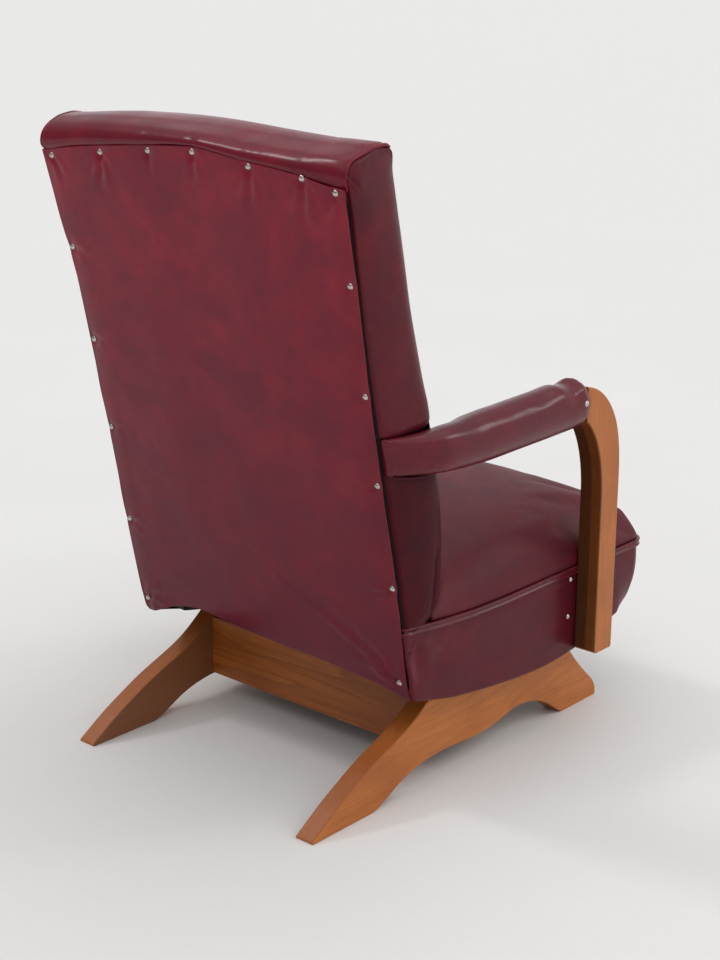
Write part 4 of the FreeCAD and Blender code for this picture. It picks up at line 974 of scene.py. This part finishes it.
def build_seat():
    hx, y0, y1, r = 270.3, -404.5, 126.0, 30.0
    nx, ny = 112, 100
    ux, uy = cosine(nx, 0.62) * 2 - 1, cosine(ny, 0.62)
    X, Y = np.meshgrid(ux * hx, y0 + uy * (y1 - y0), indexing="ij")
    # round the two front corners in plan
    cx, cy = hx - r, y0 + r
    dx, dy = np.maximum(np.abs(X) - cx, 0), np.maximum(cy - Y, 0)
    m = np.maximum(dx, dy)
    ln = np.hypot(dx, dy)
    k = np.where(ln > 0, m / np.maximum(ln, 1e-9), 1)
    X = np.sign(X) * (np.minimum(np.abs(X), cx) + dx * k)
    Y = np.where(Y < cy, cy - dy * k, Y)
    base, topz = 272.0, 351.0
    fx = smooth_of([-270.3, -268, -262, -245, -205, -150, -70, 0, 70, 150, 205, 245, 262, 268, 270.3],
                   [0, 0.24, 0.46, 0.69, 0.86, 0.94, 0.985, 1.0, 0.985, 0.94, 0.86, 0.69, 0.46, 0.24, 0])
    fy = smooth_of([-404.5, -402, -395, -376, -336, -262, -150, -40, 60, 90, 108, 126],
                   [0, 0.21, 0.42, 0.70, 0.88, 0.975, 1.0, 0.90, 0.70, 0.50, 0.26, 0.08])
    # how far in from the plan edge, so that corners fall away with the sides
    edge = np.hypot(np.maximum(np.abs(X) - cx, 0), np.maximum(cy - Y, 0))
    fxx = np.where(Y < cy, np.minimum(fx(X), fx(np.sign(X) * np.minimum(cx + edge, hx))), fx(X))
    fyy = np.where(np.abs(X) > cx, np.minimum(fy(Y), fy(np.maximum(cy - edge, y0))), fy(Y))
    corner = (Y < cy) & (np.abs(X) > cx)
    rim = np.clip(1 - edge / r, 0, 1)
    f = fxx * fyy
    f = np.where(corner, np.minimum(f, np.sqrt(np.maximum(1 - (edge / r) ** 2, 0)) * 0.45 + 0.0), f)
    Z = base + (topz - base) * f + 0.5 * welt_rise(Y) * (1 - f)
    p3 = np.stack([X, Y, Z], -1)
    calm = np.clip(f * 2, 0, 1)
    Z = Z + calm * (1.5 * noise3(p3, 130.0) + 0.5 * noise3(p3 + 3, 48.0))
    top = np.stack([X, Y, Z], -1)
    lp = loop_of(nx, ny)
    ring = top.reshape(-1, 3)[lp]
    pl = ring[:, :2]
    d = np.roll(pl, -1, 0) - np.roll(pl, 1, 0)
    nr = np.stack([d[:, 1], -d[:, 0]], -1)
    nr /= np.maximum(np.linalg.norm(nr, axis=1, keepdims=True), 1e-9)
    if ((pl - pl.mean(0)) * nr).sum() < 0:
        nr = -nr
    rings = []
    for off, z in ((0.7, 268.5), (1.1, 265), (1.2, 261.5), (0.9, 258.5), (0.1, 256.3), (-2.0, 254.9), (-6.0, 254.4)):
        zz = z + (ring[:, 2] - base) * np.clip((z - 255.4) / (base - 255.4), 0, 1) + welt_rise(pl[:, 1]) * np.clip((285 - z) / 25.0, 0, 1)
        rings.append(np.c_[pl + nr * off, zz])
    bot = np.stack([X * 0.965, y0 + 8 + (Y - y0) * 0.975, 254.3 + welt_rise(Y)], -1)
    vv, ff = slab(top, bot, rings)
    o = put("seat_cover_padded", vv, ff, VINYL_SEAT)
    c = coords(o) * 1000
    pins = np.maximum(sstep(268, 259, c[:, 2]), sstep(70, 92, c[:, 1] - Y_SHIFT) * 0.9)
    puff(o, pins, cap=7.0, pressure=3.0)
    relax(o, 4, 0.5, keep=sstep(270, 259, coords(o)[:, 2] * 1000))
    subdivide(o, 1)
    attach(o, "seat")
    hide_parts("seat_cover", "seat_padding")
    return o


def plan_path(hx, y_front, r, y_rear, turn_in, n_side=150, n_arc=26, n_front=120):
    """Path in plan round the seat from its rear right corner to its rear left one."""
    pts = []
    rr = 8.0
    # rear corner turned in towards the outside back
    for a in np.linspace(90, 0, 9):
        if turn_in:
            pts.append((-(hx - rr) - rr * math.cos(math.radians(a)), y_rear - rr + rr * math.sin(math.radians(a))))
    if turn_in:
        pts.insert(0, (-(hx - rr) + 6, y_rear))
    for y in np.linspace(y_rear - rr, y_front + r, n_side)[1:]:
        pts.append((-hx, y))
    for a in np.linspace(0, 90, n_arc)[1:]:
        pts.append((-(hx - r) - r * math.cos(math.radians(a)), y_front + r - r * math.sin(math.radians(a))))
    half = np.array(pts)
    mirror = half[::-1] * (-1, 1)
    mid = np.stack([np.linspace(half[-1, 0], mirror[0, 0], n_front)[1:-1], np.full(n_front - 2, y_front)], -1)
    return np.vstack([half, mid, mirror])


def outward(path):
    d = np.gradient(path, axis=0)
    n = np.stack([d[:, 1], -d[:, 0]], -1)
    n /= np.linalg.norm(n, axis=1, keepdims=True)
    if ((path - path.mean(0)) * n).sum() < 0:
        n = -n
    return n


def build_welt():
    yr = BACK_Y - 3.4 / CA + 0.20543 * (262 - BACK_Z)
    p = plan_path(272.0, -406.6, 29.0, yr, True)
    n = outward(p)
    # flat doubled band: two rounded lips with a shallow valley between stitched lines
    sec = [(-2.2, 245.2), (0.6, 245.0), (2.6, 245.4), (3.5, 246.6), (3.0, 247.9), (1.0, 248.8), (0.8, 249.7), (1.3, 250.6), (1.0, 251.6), (0.7, 252.2),
           (2.8, 253.1), (3.7, 254.4), (3.0, 255.8), (0.8, 256.5), (-2.6, 256.0)]
    sec = np.array(sec)
    s = np.r_[0, np.cumsum(np.linalg.norm(np.diff(p, axis=0), axis=1))]
    p3 = np.c_[p, np.full(len(p), 250.0)]
    wob = 0.45 * noise3(p3, 36.0)
    lift = 0.5 * noise3(p3 + 40, 55.0)
    rings = []
    for i in range(len(p)):
        rings.append(np.c_[p[i] + n[i] * (sec[:, :1] + wob[i] * (sec[:, :1] > 0)), sec[:, 1] + lift[i] + float(welt_rise(p[i, 1]))])
    vv, ff = tube(rings)
    o = put("seat_welt_band", vv, ff, VINYL_ARM)
    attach(o, "seat")
    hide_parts("seat_welt")
    return o


HEM = [(-340, 145), (-310, 137.5), (-262, 126), (-214, 116), (-148, 112), (-83, 115), (-36, 119.5), (2, 124), (73, 134.5), (132, 149), (154, 155), (168, 165)]


def build_skirt(sx, name):
    ns, nz = 170, 60
    ss, tz = cosine(ns, 0.45), cosine(nz, 0.6)
    yr_top = BACK_Y - 2.2 / CA + 0.20543 * (262 - BACK_Z)
    low = curve(HEM, ss)
    ys = np.interp(ss, [0, 1], [-340.0, yr_top])
    hi = np.stack([ys, 246.8 + welt_rise(ys)], -1)
    front = np.stack([np.full(nz, -340.0), np.interp(tz, [0, 1], [145.0, 246.8])], -1)
    rear = np.stack([np.interp(tz, [0, 1], [HEM[-1][0], yr_top]), np.interp(tz, [0, 1], [HEM[-1][1], 246.8 + float(welt_rise(yr_top))])], -1)
    gr = coons(low, hi, front, rear)
    df, dr, db, dt = edge_field(gr)
    y, z = gr[..., 0], gr[..., 1]
    q1 = np.clip(1 - dr / 6.0, 0, 1)
    q2 = np.clip(1 - db / 7.0, 0, 1)
    q = np.minimum(np.sqrt(q1 ** 2 + q2 ** 2), 1)
    rise = np.sqrt(np.maximum(1 - q ** 2, 0))
    low_x = 262.5 + 6.5 * sstep(12, 3, dr) * sstep(0, 20, db)
    x = low_x + (271.6 - low_x) * rise
    p3 = np.stack([y, z, 0 * y + 90 * sx], -1)
    body = np.clip(db / 30, 0, 1) * np.clip(dt / 12, 0, 1) * np.clip(dr / 25, 0, 1)
    x += body * (1.3 + 0.9 * noise3(p3, 80.0) + 0.3 * noise3(p3 + 5, 28.0)) * (0.35 + 0.65 * sstep(-215, -180, y))
    # pulled folds: from the rear of the welt, and at the nails beside the post
    for (py, pz, ang, ln, amp, wd) in ((yr_top - 6, 238, -2.42, 60, 2.2, 5.0), (yr_top - 3, 222, -2.62, 54, 1.6, 5.0), (yr_top - 20, 243, -2.15, 46, 1.3, 4.5),
                                       (-203.5, 237.5, -0.5, 20, 1.2, 2.4), (-203.5, 237.5, -1.3, 16, 1.0, 2.2), (-203.5, 237.5, 0.25, 16, 0.9, 2.2),
                                       (-199.5, 179, 0.2, 16, 0.8, 2.4), (-199.5, 179, 1.2, 18, 0.7, 2.4), (-199.5, 179, -0.9, 16, 0.7, 2.4)):
        x += pucker(y, z, py, pz, ang, ln, 0.72 * amp, wd) * np.clip(dt / 5, 0, 1)
    for ny, nz_ in ((-203.5, 237.5), (-199.5, 179.0)):
        k = np.exp(-((y - ny) ** 2 + (z - nz_) ** 2) / 9.0 ** 2)
        x = x * (1 - k) + 272.2 * k
    x -= 1.6 * bell(y + 214, 4.0) * (1 + 0.6 * np.sin(z / 7.0)) * np.clip(db / 10, 0, 1)
    x = np.minimum(x, 273.0 + 2.0 * sstep(-205, -190, y)) - 1.5 * sstep(-226, -236, y)
    out = np.stack([sx * x, y, z], -1)
    inner = np.stack([sx * np.maximum(np.minimum(x - 1.8, 269.4), 260.5), y, z], -1)
    vv, ff = slab(out, inner)
    o = put(name, vv, ff, VINYL_WORN_SHADED)
    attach(o, "seat")
    return o


def build_front_border():
    hx, yf, r = 271.6, -404.0, 29.0
    pts = [(-hx, y) for y in np.linspace(-238, -342, 27)] + [(-(hx - r) - r * math.cos(math.radians(a)), yf + r - r * math.sin(math.radians(a))) for a in np.linspace(0, 90, 22)]
    half = np.array(pts)
    mid = np.stack([np.linspace(half[-1, 0], -half[-1, 0], 150)[1:-1], np.full(148, yf)], -1)
    p = np.vstack([half, mid, half[::-1] * (-1, 1)])
    n = outward(p)
    s = np.r_[0, np.cumsum(np.linalg.norm(np.diff(p, axis=0), axis=1))]
    prof = curve([(-1.2, 247.0), (0.2, 243), (0.9, 232), (0.9, 214), (-1.4, 195), (-6.0, 178), (-12, 165), (-20, 155.5), (-29, 150.6), (-38, 150)], 46)
    endfade = np.maximum(np.minimum(s, s[-1] - s) - 100.0, 0)
    into_all = sstep(0, 62, endfade)
    rows = []
    for i in range(len(p)):
        tack = 0.5 + 0.5 * math.cos(2 * math.pi * s[i] / 47.0 + 0.8 * math.sin(s[i] / 90.0))
        rows.append((p[i], n[i], tack))
    out = np.zeros((len(p), len(prof), 3))
    for i, (q, nn, tack) in enumerate(rows):
        low = sstep(190, 158, prof[:, 1])
        into = float(sstep(0, 62, endfade[i]))
        o_ = prof[:, 0] * (0.10 + 0.90 * into) + low * (-3.4 * (1 - tack) ** 2) * sstep(0, 30, endfade[i]) + 0.3 * (1 - into)
        # pulled in where the border runs into the skirt
        zz = prof[:, 1] + low * 2.2 * (1 - tack) * sstep(0, 30, endfade[i]) - 5.0 * (1 - into) * sstep(200, 150, prof[:, 1])
        if q[1] > -340:
            foot = float(np.interp(q[1], [h[0] for h in HEM], [h[1] for h in HEM])) - 0.6
            zz = 247.0 - (247.0 - prof[:, 1]) * (247.0 - foot) / 97.0
        out[i, :, :2] = q + nn * o_[:, None]
        out[i, :, 2] = zz
    p3 = out.copy()
    nrm = normals_of(out)
    if (nrm[len(p) // 2, 10, 1]) > 0:
        nrm = -nrm
    out = out + nrm * ((0.8 * noise3(p3, 60.0) + 0.25 * noise3(p3 + 8, 22.0)) * (0.2 + 0.8 * into_all[:, None]))[..., None]
    inner = out - nrm * 2.0
    vv, ff = slab(out, inner)
    o = put("front_border_padded", vv, ff, VINYL_WORN_SHADED)
    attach(o, "seat")
    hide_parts("seat_front_border")
    return o


# ----------------------------------------------------------------------------
# arm covers: padded sleeves round the arm rails, gathered onto the wood in front
# ----------------------------------------------------------------------------
def build_arm(sx, name):
    nsec, nst = 104, 170
    tt = cosine(nst, 0.6)
    y_front = -172.5
    th = np.linspace(0, 2 * np.pi, nsec, endpoint=False)
    Y = lambda a: (np.asarray(a, float) + 172.5) / 411.0
    fo = smooth_of(Y([-172.5, -169, -163, -156, -148, -135, -90, 60, 120, 150, 168, 190, 213, 229, 236, 238.5]),
                   [313.2, 315.0, 318.4, 320.6, 321.0, 321.0, 320.6, 320.4, 320.4, 319.6, 317.0, 309.5, 298.5, 287.5, 281.0, 277.2])
    fi = smooth_of(Y([-172.5, -166, -156, -135, -90, 60, 85, 110, 150, 238.5]), [270.8, 267.0, 263.4, 261.0, 260.2, 260.2, 261.0, 267.5, 269.7, 269.9])
    ft = smooth_of(Y([-172.5, -168, -160, -152, -142, -132, -120, -108, -90, -68, -30, 0, 54, 103, 140, 180, 238.5]),
                   [548.4, 552.0, 556.4, 557.6, 555.8, 553.6, 554.8, 556.8, 555.8, 554.0, 552.4, 551.2, 549.2, 546.8, 546.6, 544.6, 543.5])
    fb = smooth_of(Y([-172.5, -168, -157, -137, -110, -76, -11, 60, 85, 130, 177, 205, 238.5]),
                   [493.0, 490.6, 488.6, 487.0, 486.0, 485.2, 483.6, 481.8, 482.4, 485.0, 488.4, 491.4, 494.4])
    rings = []
    for t in tt:
        xo, xi, zt, zb = float(fo(t)), float(fi(t)), float(ft(t)), float(fb(t))
        cx, cz, a, b = (xo + xi) / 2, (zt + zb) / 2, (xo - xi) / 2, (zt - zb) / 2
        e = 2.45 - 0.25 * float(sstep(0.25, 0.02, t))
        c, s = np.cos(th), np.sin(th)
        x = cx + a * np.sign(c) * np.abs(c) ** (2 / e)
        z = cz + b * np.sign(s) * np.abs(s) ** (2 / e)
        yb = BACK_Y - 8.6 / CA + 0.20543 * (z - BACK_Z)
        y = y_front + t * (yb - y_front)
        # gathers where the cover is drawn onto the wood in front
        gather = np.exp(-t / 0.03) * (0.8 * np.sin(9 * th + 0.6) + 0.7 * np.sin(17 * th + 1.9) + 0.5 * np.sin(29 * th))
        # folded lump on top of the front end
        lump_top = np.exp(-((th - 1.75) / 0.55) ** 2) * bell(y + 152, 9.0) * 2.2 - np.exp(-((th - 1.3) / 0.25) ** 2) * bell(y + 140, 4.0) * 1.3
        k = 1 + (gather + lump_top) / 37.0
        # sewn fold at the rear end: a raised hem with a valley before it
        from_end = (1 - t) * (yb - y_front)
        groove = -1.5 * bell(from_end - 8.2, 1.3) + 0.8 * bell(from_end - 4.5, 2.4) + 0.4 * bell(from_end - 12.5, 3.0)
        k = k + groove / 34.0 * (c > -0.5)
        x = cx + (x - cx) * k
        z = cz + (z - cz) * k
        pts = np.stack([x, y, z], -1)
        bumps = 0.55 * noise3(pts + 13, 60.0) + 0.25 * noise3(pts + 4, 24.0)
        nrm = np.stack([np.cos(th) / a, 0 * th, np.sin(th) / b], -1)
        nrm /= np.linalg.norm(nrm, axis=1, keepdims=True)
        pts = pts + nrm * bumps[:, None] * float(sstep(0, 0.05, t))
        rings.append(pts)
    first = rings[0].copy()
    tuck = first.copy()
    tuck[:, 0] = 292 + (first[:, 0] - 292) * 0.93
    tuck[:, 2] = 520.5 + (first[:, 2] - 520.5) * 0.95
    tuck2 = tuck.copy()
    tuck2[:, 1] += 4.0
    tuck[:, 1] -= 0.6
    last = rings[-1].copy()
    end = last.copy()
    end[:, 0] = last[:, 0].mean() + (last[:, 0] - last[:, 0].mean()) * 0.6
    end[:, 2] = last[:, 2].mean() + (last[:, 2] - last[:, 2].mean()) * 0.94
    end[:, 1] += 0.4
    rings = [tuck2, tuck] + rings + [end]
    rings = [r * (sx, 1, 1) for r in rings]
    vv, ff = tube(rings)
    o = put(name, vv, ff, VINYL_ARM)
    c = coords(o) * 1000
    c[:, 1] -= Y_SHIFT
    pins = np.maximum(sstep(-135, -160, c[:, 1]), sstep(205, 222, c[:, 1]))
    pins = np.maximum(pins, sstep(490, 485, c[:, 2]))
    pins = np.maximum(pins, sstep(272, 268, np.abs(c[:, 0])) * sstep(90, 110, c[:, 1]))
    puff(o, pins, cap=2.5, pressure=2.0)
    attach(o, "seat")
    return o


build_outside_back()
build_back_cover()
for side, sx in (("left", 1), ("right", -1)):
    o = build_side_upper(sx, "back_border_upper_" + side)
    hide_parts("back_side_upper_" + side)
    o = build_side_lower(sx, "back_border_lower_" + side)
    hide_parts("back_side_lower_" + side)
    build_edge_shadow_strip(sx, "back_edge_shadow_strip_" + side)
    build_roll_edge(sx, "roll_edge_fold_" + side)
    build_front_seam(sx, "back_front_seam_" + side)
    build_foot_shadow_cloth(sx, "back_foot_shadow_cloth_" + side)
    o = build_skirt(sx, "side_skirt_sheet_" + side)
    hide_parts("side_skirt_" + side)
    o = build_arm(sx, "arm_cover_padded_" + side)
    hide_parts("arm_cover_" + side, "arm_padding_" + side)
build_seat()
build_welt()
build_front_border()

# ----------------------------------------------------------------------------
# coil springs stretch between the base and the seat
# ----------------------------------------------------------------------------
src = NODES["rocker_coil_springs"]
coils = bpy.data.objects.new("rocker_coils", src.data.copy())
bpy.context.scene.collection.objects.link(coils)
coils.data.materials.clear()
coils.data.materials.append(SPRING)
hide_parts("rocker_coil_springs")
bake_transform(coils)

# ----------------------------------------------------------------------------
# finishes of the pieces that keep their shape
# ----------------------------------------------------------------------------
FINISH = {
    "base_rail_left": WOOD_Y, "base_rail_right": WOOD_Y, "base_rear_cross_rail": WOOD_X, "base_front_cross_rail": WOOD_X,
    "arm_left": WOOD_Z, "arm_right": WOOD_Z,
    "base_dowels": RAW["x"], "base_corner_blocks": RAW["z"], "runner_left": RAW["y"], "runner_right": RAW["y"],
    "seat_side_rail_left": RAW_SHADED, "seat_side_rail_right": RAW_SHADED, "seat_front_rail": RAW["x"], "seat_rear_rail": RAW["x"],
    "seat_corner_blocks": RAW["y"], "frame_dowels": RAW["x"], "back_post_left": RAW["z"], "back_post_right": RAW["z"],
    "back_top_rail": RAW["x"], "back_lower_rail": RAW["x"],
    "seat_burlap": BURLAP, "back_burlap": BURLAP, "dust_cover": DUST,
    "seat_zigzag_springs": SPRING, "back_zigzag_springs": SPRING,
    "spring_bracket_lower_left": BRACKET, "spring_bracket_lower_right": BRACKET, "spring_bracket_upper_left": BRACKET,
    "spring_bracket_upper_right": BRACKET, "seat_spring_clips": BRACKET, "back_spring_clips": BRACKET,
    "base_block_screws": SCREW, "runner_screws": SCREW, "back_post_screws": SCREW, "arm_screws": SCREW,
    "spring_bracket_screws_lower": SCREW, "spring_bracket_screws_upper": SCREW,
    "back_panel_nails": NICKEL, "side_nails": NICKEL, "arm_nails": NICKEL,
}
for n, m in FINISH.items():
    NODES[n].data.materials.clear()
    NODES[n].data.materials.append(m)

# ----------------------------------------------------------------------------
# floor and light
# ----------------------------------------------------------------------------
def floor_material():
    m, t, b, co = tree_of("floor_paper")
    away = node(t, "ShaderNodeVectorMath", {0: co}, {"operation": "LENGTH"}).outputs["Value"]
    n = noise(t, co, 1.3, 4.0)
    f = noise(t, co, 60.0, 3.0)
    c = ramp(t, n, [(0.3, (0.745, 0.740, 0.732)), (0.7, (0.775, 0.770, 0.762))])
    c = mix(t, span(t, f, 0.4, 0.7, 0.0, 0.05), c, (0.6, 0.595, 0.585))
    c = mix(t, span(t, away, 1.5, 6.0, 0.0, 1.0), c, (0.755, 0.753, 0.747))
    t.links.new(c, b.inputs["Base Color"])
    b.inputs["Roughness"].default_value = 0.85
    b.inputs["Specular IOR Level"].default_value = 0.2
    return m


me = bpy.data.meshes.new("floor")
bm = bmesh.new()
bmesh.ops.create_grid(bm, x_segments=8, y_segments=8, size=500.0)
bm.to_mesh(me)
bm.free()
floor = bpy.data.objects.new("floor", me)
bpy.context.scene.collection.objects.link(floor)
floor.location.z = -0.0005
me.materials.append(floor_material())


def sun(name, toward_light, power, angle, col):
    li = bpy.data.lights.new(name, "SUN")
    li.energy, li.angle, li.color = power, math.radians(angle), col
    o = bpy.data.objects.new(name, li)
    bpy.context.scene.collection.objects.link(o)
    o.rotation_euler = (-Vector(toward_light)).to_track_quat("-Z", "Y").to_euler()


sun("overhead_soft", (-0.15, 0.05, 0.98), 1.62, 100, (1.0, 0.995, 0.985))
sun("front_lamp", (-0.48, -0.70, 0.52), 0.24, 13, (1.0, 0.985, 0.96))
sun("left_lamp", (0.60, 0.22, 0.77), 0.36, 9, (1.0, 0.99, 0.98))

world = bpy.data.worlds.new("studio")
bpy.context.scene.world = world
world.use_nodes = True
wt = world.node_tree
wt.nodes.clear()
wo = wt.nodes.new("ShaderNodeOutputWorld")
bg = wt.nodes.new("ShaderNodeBackground")
wt.links.new(bg.outputs[0], wo.inputs[0])
# bright overhead and round three sides, dimmer room on the fourth
wc = wt.nodes.new("ShaderNodeTexCoord").outputs["Generated"]
sep = node(wt, "ShaderNodeSeparateXYZ", {0: wc})
toward = maths(wt, "ADD", maths(wt, "MULTIPLY", sep.outputs[0], 0.5), maths(wt, "MULTIPLY", sep.outputs[1], 0.86))
room = span(wt, toward, -0.15, 0.55, 0.0, 1.0)
high = span(wt, sep.outputs[2], 0.25, 0.8, 0.0, 1.0)
round_ = ramp(wt, room, [(0.0, (0.98, 0.985, 0.99)), (1.0, (0.20, 0.198, 0.195))])
wcol = mix(wt, high, round_, (0.42, 0.425, 0.43))
wt.links.new(wcol, bg.inputs["Color"])
bg.inputs["Strength"].default_value = 0.92
bpy.context.scene.view_settings.view_transform = "Standard"
bpy.context.scene.view_settings.look = "None"
